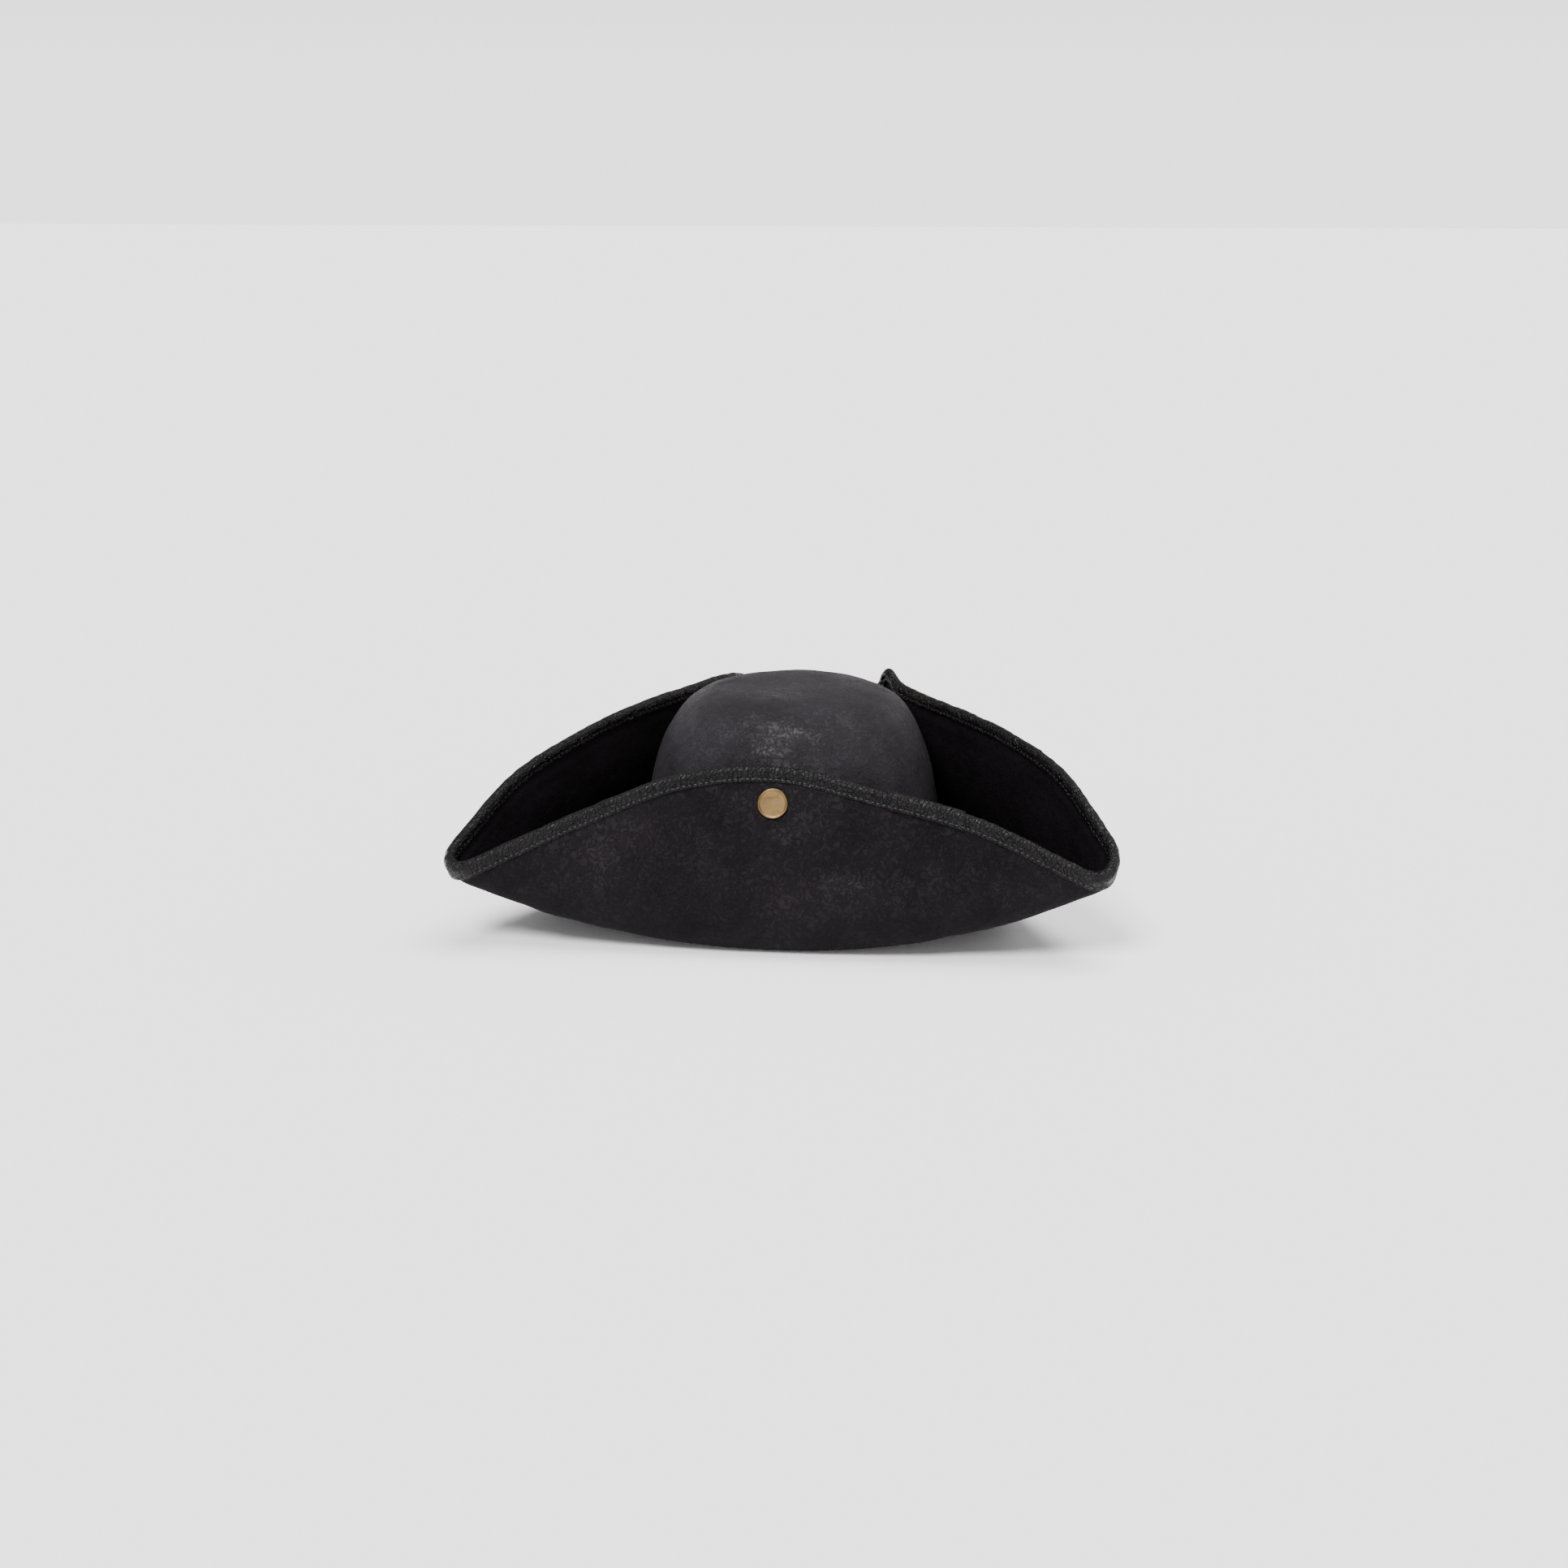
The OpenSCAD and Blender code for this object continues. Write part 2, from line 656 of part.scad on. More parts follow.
snap_stud(LEFT);  // left_snap_stud
snap_eyelet(FRONT);  // front_snap_eyelet
snap_eyelet(RIGHT);  // right_snap_eyelet
snap_eyelet(LEFT);  // left_snap_eyelet
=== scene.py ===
import json
import math

import bpy
import numpy as np
from bpy.props import FloatProperty, FloatVectorProperty, PointerProperty
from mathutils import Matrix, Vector


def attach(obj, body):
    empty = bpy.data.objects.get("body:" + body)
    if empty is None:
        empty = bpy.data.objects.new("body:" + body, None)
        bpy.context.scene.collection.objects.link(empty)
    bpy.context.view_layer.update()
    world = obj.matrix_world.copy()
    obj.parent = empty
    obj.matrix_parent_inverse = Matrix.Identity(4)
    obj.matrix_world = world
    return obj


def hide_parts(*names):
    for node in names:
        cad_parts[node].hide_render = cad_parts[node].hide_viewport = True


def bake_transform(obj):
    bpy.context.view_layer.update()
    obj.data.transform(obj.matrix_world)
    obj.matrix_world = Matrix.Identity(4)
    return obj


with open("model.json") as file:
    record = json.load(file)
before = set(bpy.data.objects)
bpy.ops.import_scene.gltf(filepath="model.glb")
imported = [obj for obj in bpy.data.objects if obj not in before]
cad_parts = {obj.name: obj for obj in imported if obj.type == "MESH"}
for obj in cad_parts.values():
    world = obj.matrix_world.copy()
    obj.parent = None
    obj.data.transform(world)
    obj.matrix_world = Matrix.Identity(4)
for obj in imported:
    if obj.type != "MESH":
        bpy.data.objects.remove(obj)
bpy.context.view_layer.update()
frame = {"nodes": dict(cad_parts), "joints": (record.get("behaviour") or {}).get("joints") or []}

bl_info = {
    "name": "Three-cornered pirate hat",
    "version": (1, 0, 0),
    "blender": (4, 5, 0),
    "location": "View3D > Sidebar > Hat",
    "description": "Builds the cloth, edging, stitches, snaps and finishes of a three-cornered hat",
    "category": "Object",
}

MM = 0.001

FRONT, RIGHT, LEFT = 0, 1, 2
SIDE_NAMES = ("front", "right", "left")

# Sizes of the hat's form in millimetres, the same as in the part's source
HEAD = np.array([169.0, 202.0])
CROWN_H, CROWN_WALL, WALL_POWER, TOP_POWER = 128.0, 2.0, 5.0, 2.3
LINING_WALL, BAND_WALL, BAND_H, PLY_GAP, FOOT_GAP = 0.5, 1.0, 32.0, 0.1, 0.3
LEFT_REACH, RIGHT_REACH, FRONT_REACH, BACK_REACH = 185.0, 191.0, 121.0, 226.0
BRIM_T, FOLD_H, CORNER_RISE, CORNER_LIFT = 3.0, 40.0, 32.0, (0.0, 5.0, 0.0)
CORNER_LEN, CORNER_ROUND, CREASE_IN, SIDE_HOLLOW, FOOT_MARGIN = 20.0, 0.55, 7.0, 0.6, 3.0
ROLL_IN, RISE_POWER, ROLL_LEVEL, ROLL_SPREAD, ROLL_STAND = 5.5, 2.1, 0.35, 0.25, 0.45
BINDING_W, BINDING_IN_W, BINDING_T, BEAD_PROUD, SEAT_GAP = 9.4, 7.4, 0.9, 0.4, 0.25
SNAP_DROP, SOCKET_H, SNAP_GAP, FLANGE_T, CAP_LIFT, SIDE_SNAP_AT = 20.5, 3.2, 0.4, 1.0, 0.4, 0.14
LAP_FROM, LAP_TO = 0.32, 0.55
# Height of the finished edge along each side, as (place, height), and its lean to the crown
FRONT_EDGE = ((-0.9, 51), (-0.6, 76), (-0.3, 97), (0, 102), (0.3, 91), (0.6, 79), (0.9, 56))
RIGHT_EDGE = ((-0.9, 70), (-0.7, 95), (-0.45, 108), (-0.2, 113), (0.05, 116), (0.13, 118),
              (0.2, 124), (0.26, 115), (0.5, 99), (0.7, 78), (0.9, 52))
LEFT_EDGE = ((-0.9, 58), (-0.7, 84), (-0.45, 101), (-0.2, 111), (0.05, 116), (0.2, 118),
             (0.3, 115), (0.5, 97), (0.7, 75), (0.9, 52))
FRONT_LEAN = ((-0.9, -0.15), (-0.6, 0.35), (-0.3, 0.8), (0, 1), (0.3, 0.8), (0.6, 0.35), (0.9, -0.15))
SIDE_LEAN = ((-0.9, -0.1), (-0.7, 0.08), (-0.45, 0.36), (-0.2, 0.64), (0.05, 0.92), (0.2, 1.06),
             (0.4, 0.72), (0.65, 0.22), (0.9, -0.1))

# A step along a curve, and how far the cloth's edge stops short of the wire's middle
TINY, CLOTH_SHORT = 0.01, 1.2
CROWN_IN = HEAD / 2 + BAND_WALL + LINING_WALL + 2 * PLY_GAP
CROWN_OUT = CROWN_IN + CROWN_WALL
BRIM_HOLE = CROWN_OUT + FOOT_GAP
FLAT_EDGE = CROWN_OUT + FOOT_MARGIN
SEAT = BRIM_T / 2 + SEAT_GAP
STRIP_OUT = SEAT + BINDING_T
BEAD_R = STRIP_OUT + BEAD_PROUD
SKIRT = BINDING_W - BEAD_R
SKIRT_IN = BINDING_IN_W - BEAD_R
SNAP_STACK = BRIM_T / 2 + SOCKET_H + SNAP_GAP + FLANGE_T
CAP_BOTTOM = BRIM_T / 2 + CAP_LIFT

# Steps of the fine meshes
SIDE_STEPS, CORNER_STEPS = 116, 22
FLOOR_ROWS, ROLL_ROWS, FLAP_ROWS = 13, 16, 26
CROWN_COLS, CROWN_ROWS = 200, 74
LAST_RING, RING_SPREAD = 0.992, 0.62


# ---- Curves and the hat's form ----

def unit(v):
    return v / np.linalg.norm(v, axis=-1, keepdims=True)


def ease(t):
    t = np.clip(t, 0.0, 1.0)
    return t * t * (3 - 2 * t)


def bezier(a, b, c, d, t):
    s = 1 - t
    return s ** 3 * a + 3 * s * s * t * b + 3 * s * t * t * c + t ** 3 * d


def along(points, x):
    """A smooth cubic curve through (place, value) points, the one the part's source uses."""
    px, py = np.array(points, float).T
    x = np.asarray(x, float)
    chord = np.diff(py) / np.diff(px)
    gap = np.diff(px)
    slope = np.concatenate([
        chord[:1], (chord[:-1] * gap[1:] + chord[1:] * gap[:-1]) / (gap[1:] + gap[:-1]), chord[-1:]
    ])
    i = np.clip(np.searchsorted(px, x) - 1, 0, len(px) - 2)
    h = gap[i]
    s = (x - px[i]) / h
    blend = s * s * (3 - 2 * s)
    value = (1 - blend) * py[i] + blend * py[i + 1]
    return value + s * (1 - s) * h * ((1 - s) * slope[i] - s * slope[i + 1])


def lumps(p, size, seed, waves=9):
    """Smooth unevenness between about -1 and 1 at points p, with bumps of about the size given."""
    rng = np.random.default_rng(seed)
    total = np.zeros(p.shape[:-1])
    for _ in range(waves):
        way = unit(rng.normal(size=3))
        length = size * rng.uniform(1.3, 2.6)
        total += np.sin(p @ way * (2 * math.pi / length) + rng.uniform(0, 2 * math.pi))
    return total / math.sqrt(waves)


def uneven(p, layers):
    """Unevenness at points p from layers of (share, size of its bumps, seed)."""
    return sum(share * lumps(p, size, seed) for share, size, seed in layers)


def ridge_at(place, height, middle, width):
    return height * np.exp(-((place - middle) / width) ** 2)


def share_at(z, h):
    return np.maximum(0, 1 - (z / h) ** TOP_POWER) ** (1 / WALL_POWER)


def height_at(share, h):
    return h * (1 - share ** WALL_POWER) ** (1 / TOP_POWER)


class Side:
    """One turned-up side of the brim, measured along, out of and up from its fold line."""

    corners = np.array([[-LEFT_REACH, -FRONT_REACH], [RIGHT_REACH, -FRONT_REACH], [0, BACK_REACH]])

    def __init__(self, k):
        a, b = self.corners[k], self.corners[(k + 1) % 3]
        self.k = k
        self.name = SIDE_NAMES[k]
        self.body = self.name + "_side"
        self.mid = (a + b) / 2
        self.half = np.linalg.norm(b - a) / 2
        self.dir = unit(b - a)
        self.out = np.array([self.dir[1], -self.dir[0]])
        self.edge_points = (FRONT_EDGE, RIGHT_EDGE, LEFT_EDGE)[k]
        self.lean_points = FRONT_LEAN if k == FRONT else SIDE_LEAN
        self.turn = -1 if k == LEFT else 1
        self.lift = (CORNER_LIFT[k], CORNER_LIFT[(k + 1) % 3])
        self.end = 1 - CORNER_LEN / self.half
        self.snap_x = -self.mid[0] / self.half if k == FRONT else self.turn * SIDE_SNAP_AT
        low, height = self.fold_z(self.snap_x), self.edge_z(self.snap_x) - SNAP_DROP
        self.snap_v = (height - low) / (self.wire_z(self.snap_x) - low)
        out, facing = self.crown_q(self.snap_x, height)
        self.snap_lean = (out + SNAP_STACK / facing) / self.bowed(self.snap_v) / self.lean(self.snap_x)

    def place(self, x, qz):
        x = np.asarray(x, float)[..., None]
        flat = self.mid + self.dir * self.half * x + self.out * qz[..., :1]
        return np.concatenate([flat, np.broadcast_to(qz[..., 1:], flat.shape[:-1] + (1,))], axis=-1)

    def edge_z(self, x):
        return along(self.edge_points, self.turn * np.asarray(x, float))

    def lean(self, x):
        return along(self.lean_points, self.turn * np.asarray(x, float))

    def stretch(self, x):
        rise = (self.edge_z(x + TINY) - self.edge_z(x - TINY)) / (2 * TINY * self.half)
        return np.sqrt(1 + rise * rise)

    def wire_z(self, x):
        return self.edge_z(x) - BEAD_R * self.stretch(x)

    def fold_z(self, x):
        return FOLD_H + self.lift[0] * (1 - x) / 2 + self.lift[1] * (1 + x) / 2

    @staticmethod
    def bowed(v):
        return v + SIDE_HOLLOW * v * (1 - v)

    def crown_q(self, x, z):
        """How far out of the fold line the crown's skin is, and its share that faces the side."""
        weigh = 1 / (CROWN_OUT * share_at(z, CROWN_H)) ** 2
        base = self.mid + self.dir * self.half * x
        a = np.sum(self.out ** 2 * weigh)
        b = np.sum(base * self.out * weigh)
        c = np.sum(base ** 2 * weigh) - 1
        q = (math.sqrt(b * b - a * c) - b) / a
        facing = unit((base + self.out * q) * weigh)
        return q, float(facing @ self.out)

    def flap(self, x, v):
        low = self.fold_z(x)
        q = self.snap_lean * self.lean(x) * self.bowed(v)
        return np.stack(np.broadcast_arrays(q, low + (self.wire_z(x) - low) * v), axis=-1)

    def flap_up(self, x, v):
        return unit(self.flap(x, v + TINY) - self.flap(x, v - TINY))

    def below_wire(self, x, drop):
        length = np.linalg.norm(self.flap(x, 1.0) - self.flap(x, 0.0), axis=-1)
        return 1 - drop * self.stretch(x) / length

    def roll(self, x, t):
        end = np.abs(x) / self.end
        rise = CORNER_RISE + np.where(x < 0, self.lift[0], self.lift[1])
        q0 = -CREASE_IN - ROLL_IN * (1 - end * end)
        z0 = BRIM_T / 2 + rise * end ** RISE_POWER
        a = np.stack([q0, z0], axis=-1)
        d = np.stack([np.zeros_like(q0), self.fold_z(x)], axis=-1)
        climb = (d - a)[..., 1:]
        step = np.concatenate([ROLL_LEVEL * a[..., :1] - ROLL_SPREAD * climb, 0 * climb], axis=-1)
        c = d - ROLL_STAND * climb * self.flap_up(x, 0.0)
        return bezier(a, a - step, c, d, t)

    def cloth_line(self, x):
        """The middle of the cloth at places x: up the roll and then up the side to the wire."""
        rows = [self.place(x, self.roll(x, t)) for t in np.linspace(0, 1, ROLL_ROWS, endpoint=False)]
        top = self.below_wire(x, CLOTH_SHORT)
        rows += [self.place(x, self.flap(x, top * v)) for v in np.linspace(0, 1, FLAP_ROWS)]
        return np.stack(rows, axis=1)

    def edge_loop(self, x, outline):
        """An outline, as (down from the wire, out of the cloth), laid on the edge at places x."""
        points = []
        for down, out in outline:
            v = self.below_wire(x, max(0.0, down))
            up = self.flap_up(x, v)
            past = (max(0.0, -down) * self.stretch(x))[..., None]
            outward = np.stack([up[..., 1], -up[..., 0]], axis=-1)
            points.append(self.place(x, self.flap(x, v) + up * past + outward * out))
        return np.stack(points, axis=1)

    def snap(self):
        """The middle of the cloth under the snap, and the direction its cap faces."""
        x, v = self.snap_x, self.snap_v
        ahead, behind = (self.place(x + step, self.flap(x + step, v)) for step in (TINY, -TINY))
        run = ahead - behind
        up = self.flap_up(x, v)
        rise = self.place(x, up) - self.place(x, 0 * up)
        return self.place(x, self.flap(x, v)), unit(np.cross(run, rise))


SIDES = [Side(k) for k in range(3)]
SNAPS = [side.snap() for side in SIDES]


def round_brim(section, side_steps=SIDE_STEPS, corner_steps=CORNER_STEPS):
    """Sections all round the brim: each side from corner to corner, then its corner."""
    rings = []
    for side in SIDES:
        after = SIDES[(side.k + 1) % 3]
        rings.append(section(side, np.linspace(-side.end, side.end, side_steps + 1)))
        a, a_back = section(side, np.array([side.end, side.end - TINY]))
        b, b_ahead = section(after, np.array([-after.end, TINY - after.end]))
        reach = CORNER_ROUND * np.linalg.norm(b - a, axis=-1, keepdims=True)
        t = np.linspace(0, 1, corner_steps + 1)[1:-1, None, None]
        rings.append(bezier(a, a + reach * unit(a - a_back), b + reach * unit(b - b_ahead), b, t))
    return np.concatenate(rings)


def sector(k, side_steps=SIDE_STEPS, corner_steps=CORNER_STEPS):
    """Which sections belong to a side's own cloth. The side pieces take the front corners."""
    span, half = side_steps + corner_steps, corner_steps // 2
    first, last = {
        FRONT: (0, side_steps),
        RIGHT: (side_steps, 2 * span - corner_steps + half),
        LEFT: (2 * span - corner_steps + half, 3 * span),
    }[k]
    return np.arange(first, last + 1) % (3 * span)


def face_out(middle):
    """Directions out of the cloth at each point of a ring of sections, down on the floor."""
    run = np.roll(middle, -1, axis=0) - np.roll(middle, 1, axis=0)
    rise = np.gradient(middle, axis=1)
    return unit(np.cross(run, rise))


# ---- Meshes ----

def quads(nu, nv, base=0, close_u=False, close_v=False):
    i, j = np.meshgrid(
        np.arange(nu if close_u else nu - 1), np.arange(nv if close_v else nv - 1), indexing="ij"
    )
    i2, j2 = (i + 1) % nu, (j + 1) % nv
    corners = [i * nv + j, i2 * nv + j, i2 * nv + j2, i * nv + j2]
    return np.stack(corners, axis=-1).reshape(-1, 4) + base


def turned_out(points, faces):
    """The same faces, wound so that a closed mesh's normals point outwards."""
    a, b, c, d = (points[faces[:, n]] for n in range(4))
    volume = np.sum(a * np.cross(b, c)) + np.sum(a * np.cross(c, d))
    return faces if volume > 0 else faces[:, ::-1]


def make_piece(name, points, faces, material, sharp=40.0, more_faces=()):
    mesh = bpy.data.meshes.new(name)
    mesh.from_pydata((np.asarray(points).reshape(-1, 3) * MM).tolist(), [],
                     np.asarray(faces).tolist() + [list(f) for f in more_faces])
    mesh.validate()
    mesh.shade_smooth()
    mesh.set_sharp_from_angle(angle=math.radians(sharp))
    mesh.materials.append(material)
    piece = bpy.data.objects.new(name, mesh)
    bpy.context.scene.collection.objects.link(piece)
    return piece


def shell_faces(nu, nv, closed):
    """Faces of a cloth with two sides, whose second grid of points follows the first."""
    n = nu * nv
    first = quads(nu, nv, 0, close_u=closed)
    second = quads(nu, nv, n, close_u=closed)[:, ::-1]
    i = np.arange(nu if closed else nu - 1)
    i2 = (i + 1) % nu
    foot = np.stack([i * nv, i * nv + n, i2 * nv + n, i2 * nv], axis=-1)
    top = np.stack([i * nv, i2 * nv, i2 * nv + n, i * nv + n], axis=-1) + nv - 1
    parts = [first, second, foot, top]
    if not closed:
        j = np.arange(nv - 1)
        start = np.stack([j, j + 1, j + 1 + n, j + n], axis=-1)
        last = (nu - 1) * nv
        parts += [start, start[:, ::-1] + last]
    return np.concatenate(parts)


def make_shell(name, outer, inner, material, closed=False):
    nu, nv = outer.shape[:2]
    points = np.concatenate([outer.reshape(-1, 3), inner.reshape(-1, 3)])
    faces = turned_out(points, shell_faces(nu, nv, closed))
    return make_piece(name, points, faces, material)


def make_tube(name, loops, material, sharp=40.0):
    """Closed outlines joined one to the next, with a flat end at each."""
    nu, nv = loops.shape[:2]
    points = loops.reshape(-1, 3)
    ends = [range(nv)[::-1], range((nu - 1) * nv, nu * nv)]
    faces = quads(nu, nv, close_v=True)
    a, b, c, d = (points[faces[:, n]] - points.mean(axis=0) for n in range(4))
    if np.sum(a * np.cross(b, c)) + np.sum(a * np.cross(c, d)) < 0:
        faces, ends = faces[:, ::-1], [end[::-1] for end in ends]
    return make_piece(name, points, faces, material, sharp, ends)


STITCH_ALONG = np.array([-1.0, -0.8, -0.4, 0.0, 0.4, 0.8, 1.0])
STITCH_FAT = np.array([0.25, 0.75, 1.0, 1.0, 1.0, 0.75, 0.25])
STITCH_SUNK = np.array([-1.0, -0.25, 0.1, 0.2, 0.1, -0.25, -1.0])
STITCH_SIDES = 7


def stitch_points(path, out, pitch, length, radius):
    """Stitches laid along a path, each sunk into the cloth at its two ends."""
    steps = np.linalg.norm(np.diff(path, axis=0), axis=1)
    reach = np.concatenate([[0], np.cumsum(steps)])
    count = max(1, int(reach[-1] / pitch))
    pitch = reach[-1] / count
    middles = (np.arange(count) + 0.5) * pitch
    length = min(length, 0.86 * pitch)
    at = middles[:, None] + STITCH_ALONG * length / 2

    def read(values):
        return np.stack([np.interp(at, reach, values[:, n]) for n in range(3)], axis=-1)

    centre, lift = read(path), unit(read(out))
    tangent = unit(np.gradient(centre, axis=1))
    across = unit(np.cross(tangent, lift))
    lift = np.cross(across, tangent)
    centre = centre + lift * (STITCH_SUNK * radius)[None, :, None]
    turn = np.arange(STITCH_SIDES) * 2 * math.pi / STITCH_SIDES
    ring = (across[:, :, None] * np.cos(turn)[:, None] + lift[:, :, None] * np.sin(turn)[:, None])
    return centre[:, :, None] + ring * (STITCH_FAT * radius)[None, :, None, None]


def make_stitches(name, rows, material):
    points = np.concatenate(rows)
    count, along_n, sides = points.shape[:3]
    each = along_n * sides
    base = quads(along_n, sides, close_v=True)[:, ::-1]
    faces = (base[None] + (np.arange(count) * each)[:, None, None]).reshape(-1, 4)
    ends = []
    for n in range(count):
        ends.append([n * each + s for s in range(sides)])
        ends.append([n * each + each - 1 - s for s in range(sides)])
    return make_piece(name, points, faces, material, 60.0, ends)


def fold_with(piece, side):
    """Bakes the piece's placing into its mesh. The side's joint axis, up direction and fold pin are worked
    out but not used.
    """
    joint = next(j for j in frame["joints"] if j["child"] == side.body)
    axis = np.array(joint["axis"], float)
    up = np.array([0, 0, 1.0]) - axis * axis[2]
    up /= np.linalg.norm(up)
    pin = side.place(0.0, np.array([0.0, float(side.fold_z(0.0))])) * MM
    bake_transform(piece)


# ---- Finishes ----

COLOR, FLOAT = "NodeSocketColor", "NodeSocketFloat"
# Places of the colour sockets on a Mix node
MIX_A, MIX_B, MIX_RESULT = 6, 7, 2


def node_group(name, inputs, outputs):
    tree = bpy.data.node_groups.new(name, "ShaderNodeTree")
    for label, kind, value in inputs:
        socket = tree.interface.new_socket(name=label, in_out="INPUT", socket_type=kind)
        socket.default_value = value
    for label, kind in outputs:
        tree.interface.new_socket(name=label, in_out="OUTPUT", socket_type=kind)
    return tree, tree.nodes.new("NodeGroupInput"), tree.nodes.new("NodeGroupOutput")


def add(tree, kind, links=None, **settings):
    """Adds a node; settings are its own values and links its sockets' values or sources."""
    node = tree.nodes.new(kind)
    for key, value in settings.items():
        setattr(node, key, value)
    for key, value in (links or {}).items():
        if isinstance(value, bpy.types.NodeSocket):
            tree.links.new(value, node.inputs[key])
        else:
            node.inputs[key].default_value = value
    return node


def calc(tree, operation, a, b=0.0, c=0.0):
    return add(tree, "ShaderNodeMath", {0: a, 1: b, 2: c}, operation=operation).outputs[0]


def span(tree, value, low, high, to_low=0.0, to_high=1.0):
    links = {"Value": value, "From Min": low, "From Max": high, "To Min": to_low, "To Max": to_high}
    return add(tree, "ShaderNodeMapRange", links, interpolation_type="SMOOTHSTEP").outputs["Result"]


def tint(tree, share, a, b):
    links = {"Factor": share, MIX_A: a, MIX_B: b}
    return add(tree, "ShaderNodeMix", links, data_type="RGBA").outputs[MIX_RESULT]


def give_out(tree, result, **sockets):
    for label, socket in sockets.items():
        tree.links.new(socket, result.inputs[label])
    return tree


def noise(tree, where, scale, detail=4.0, rough=0.55, distortion=0.0):
    links = {"Vector": where, "Scale": scale, "Detail": detail, "Roughness": rough,
             "Distortion": distortion}
    return add(tree, "ShaderNodeTexNoise", links).outputs[0]


def nap_group():
    """Brushed nap with cloudy tones, fine pebbles and short creases, its colour darkened along the creases
    as painted shade.
    """
    tree, given, result = node_group(
        "Brushed nap",
        [("Dark", COLOR, (0.02, 0.018, 0.02, 1)), ("Light", COLOR, (0.06, 0.055, 0.06, 1)),
         ("Cloud scale", FLOAT, 26.0), ("Pebble scale", FLOAT, 900.0), ("Crease scale", FLOAT, 230.0),
         ("Gloss", FLOAT, 0.6), ("Shine", FLOAT, 0.2)],
        [("Color", COLOR), ("Roughness", FLOAT), ("Height", FLOAT), ("Shine", FLOAT)],
    )
    where = add(tree, "ShaderNodeTexCoord").outputs["Object"]
    cloud = noise(tree, where, given.outputs["Cloud scale"], 5.0, 0.62, 0.4)
    nap = noise(tree, where, given.outputs["Pebble scale"], 3.0, 0.6)
    pebbles = add(tree, "ShaderNodeTexVoronoi",
                  {"Vector": where, "Scale": given.outputs["Pebble scale"], "Randomness": 1.0},
                  feature="SMOOTH_F1").outputs["Distance"]
    crease = noise(tree, where, given.outputs["Crease scale"], 6.0, 0.6, 1.6)
    ridge = calc(tree, "ABSOLUTE", calc(tree, "SUBTRACT", crease, 0.5))
    ridge = span(tree, ridge, 0.0, 0.09)
    tone = calc(tree, "MULTIPLY_ADD", nap, 0.5, calc(tree, "MULTIPLY", cloud, 0.9))
    tone = span(tree, tone, 0.45, 0.98)
    # Painted shade: the colour is darkened along the crease lines, down to 0.62 of its tone.
    tone = calc(tree, "MULTIPLY", tone, span(tree, ridge, 0.0, 1.0, 0.62, 1.0))
    color = tint(tree, tone, given.outputs["Dark"], given.outputs["Light"])
    height = calc(tree, "MULTIPLY_ADD", pebbles, -0.55, calc(tree, "MULTIPLY", nap, 0.5))
    height = calc(tree, "MULTIPLY_ADD", ridge, 0.7, height)
    rough = calc(tree, "MULTIPLY_ADD", nap, 0.35, calc(tree, "SUBTRACT", given.outputs["Gloss"], 0.15))
    rubbed = span(tree, noise(tree, where, 17.0, 4.0, 0.6, 0.6), 0.5, 0.72)
    shine = calc(tree, "MULTIPLY", calc(tree, "MULTIPLY", rubbed, ridge), given.outputs["Shine"])
    return give_out(tree, result, Color=color, Roughness=rough, Height=height, Shine=shine)


def leather_group():
    """Grained leather whose raised grain is worn smooth and shiny."""
    tree, given, result = node_group(
        "Leather grain",
        [("Base", COLOR, (0.014, 0.013, 0.014, 1)), ("Worn", COLOR, (0.05, 0.047, 0.048, 1)),
         ("Grain scale", FLOAT, 700.0), ("Roughness low", FLOAT, 0.24), ("Roughness high", FLOAT, 0.5)],
        [("Color", COLOR), ("Roughness", FLOAT), ("Height", FLOAT)],
    )
    where = add(tree, "ShaderNodeTexCoord").outputs["Object"]
    cells = add(tree, "ShaderNodeTexVoronoi",
                {"Vector": where, "Scale": given.outputs["Grain scale"], "Randomness": 1.0},
                feature="DISTANCE_TO_EDGE").outputs["Distance"]
    fine = noise(tree, where, calc(tree, "MULTIPLY", given.outputs["Grain scale"], 0.6), 6.0, 0.65, 0.5)
    patch = noise(tree, where, 60.0, 3.0, 0.5)
    raised = span(tree, cells, 0.0, 0.16)
    wear = calc(tree, "MULTIPLY", span(tree, patch, 0.5, 0.75), raised)
    height = calc(tree, "MULTIPLY_ADD", raised, 0.55, calc(tree, "MULTIPLY", fine, 0.8))
    color = tint(tree, wear, given.outputs["Base"], given.outputs["Worn"])
    rough = span(tree, fine, 0.4, 0.6, given.outputs["Roughness low"], given.outputs["Roughness high"])
    return give_out(tree, result, Color=color, Roughness=rough, Height=height)


def weave_group():
    """Fine cloth weave: two sets of threads at right angles with uneven tone."""
    tree, given, result = node_group(
        "Cloth weave",
        [("Dark", COLOR, (0.008, 0.008, 0.01, 1)), ("Light", COLOR, (0.03, 0.028, 0.034, 1)),
         ("Thread scale", FLOAT, 1500.0)],
        [("Color", COLOR), ("Roughness", FLOAT), ("Height", FLOAT)],
    )
    where = add(tree, "ShaderNodeTexCoord").outputs["Object"]
    parts = add(tree, "ShaderNodeSeparateXYZ", {0: where}).outputs
    lines = []
    for a, b in ((parts[0], parts[1]), (parts[2], parts[2])):
        place = calc(tree, "MULTIPLY", calc(tree, "ADD", a, b), given.outputs["Thread scale"])
        lines.append(calc(tree, "ABSOLUTE", calc(tree, "SINE", place)))
    weave = calc(tree, "MAXIMUM", lines[0], lines[1])
    patch = noise(tree, where, 40.0, 4.0, 0.6)
    tone = calc(tree, "MULTIPLY_ADD", patch, 0.7, calc(tree, "MULTIPLY", weave, 0.4))
    color = tint(tree, span(tree, tone, 0.2, 0.9), given.outputs["Dark"], given.outputs["Light"])
    rough = span(tree, tone, 0.1, 1.0, 0.55, 0.34)
    return give_out(tree, result, Color=color, Roughness=rough, Height=weave)


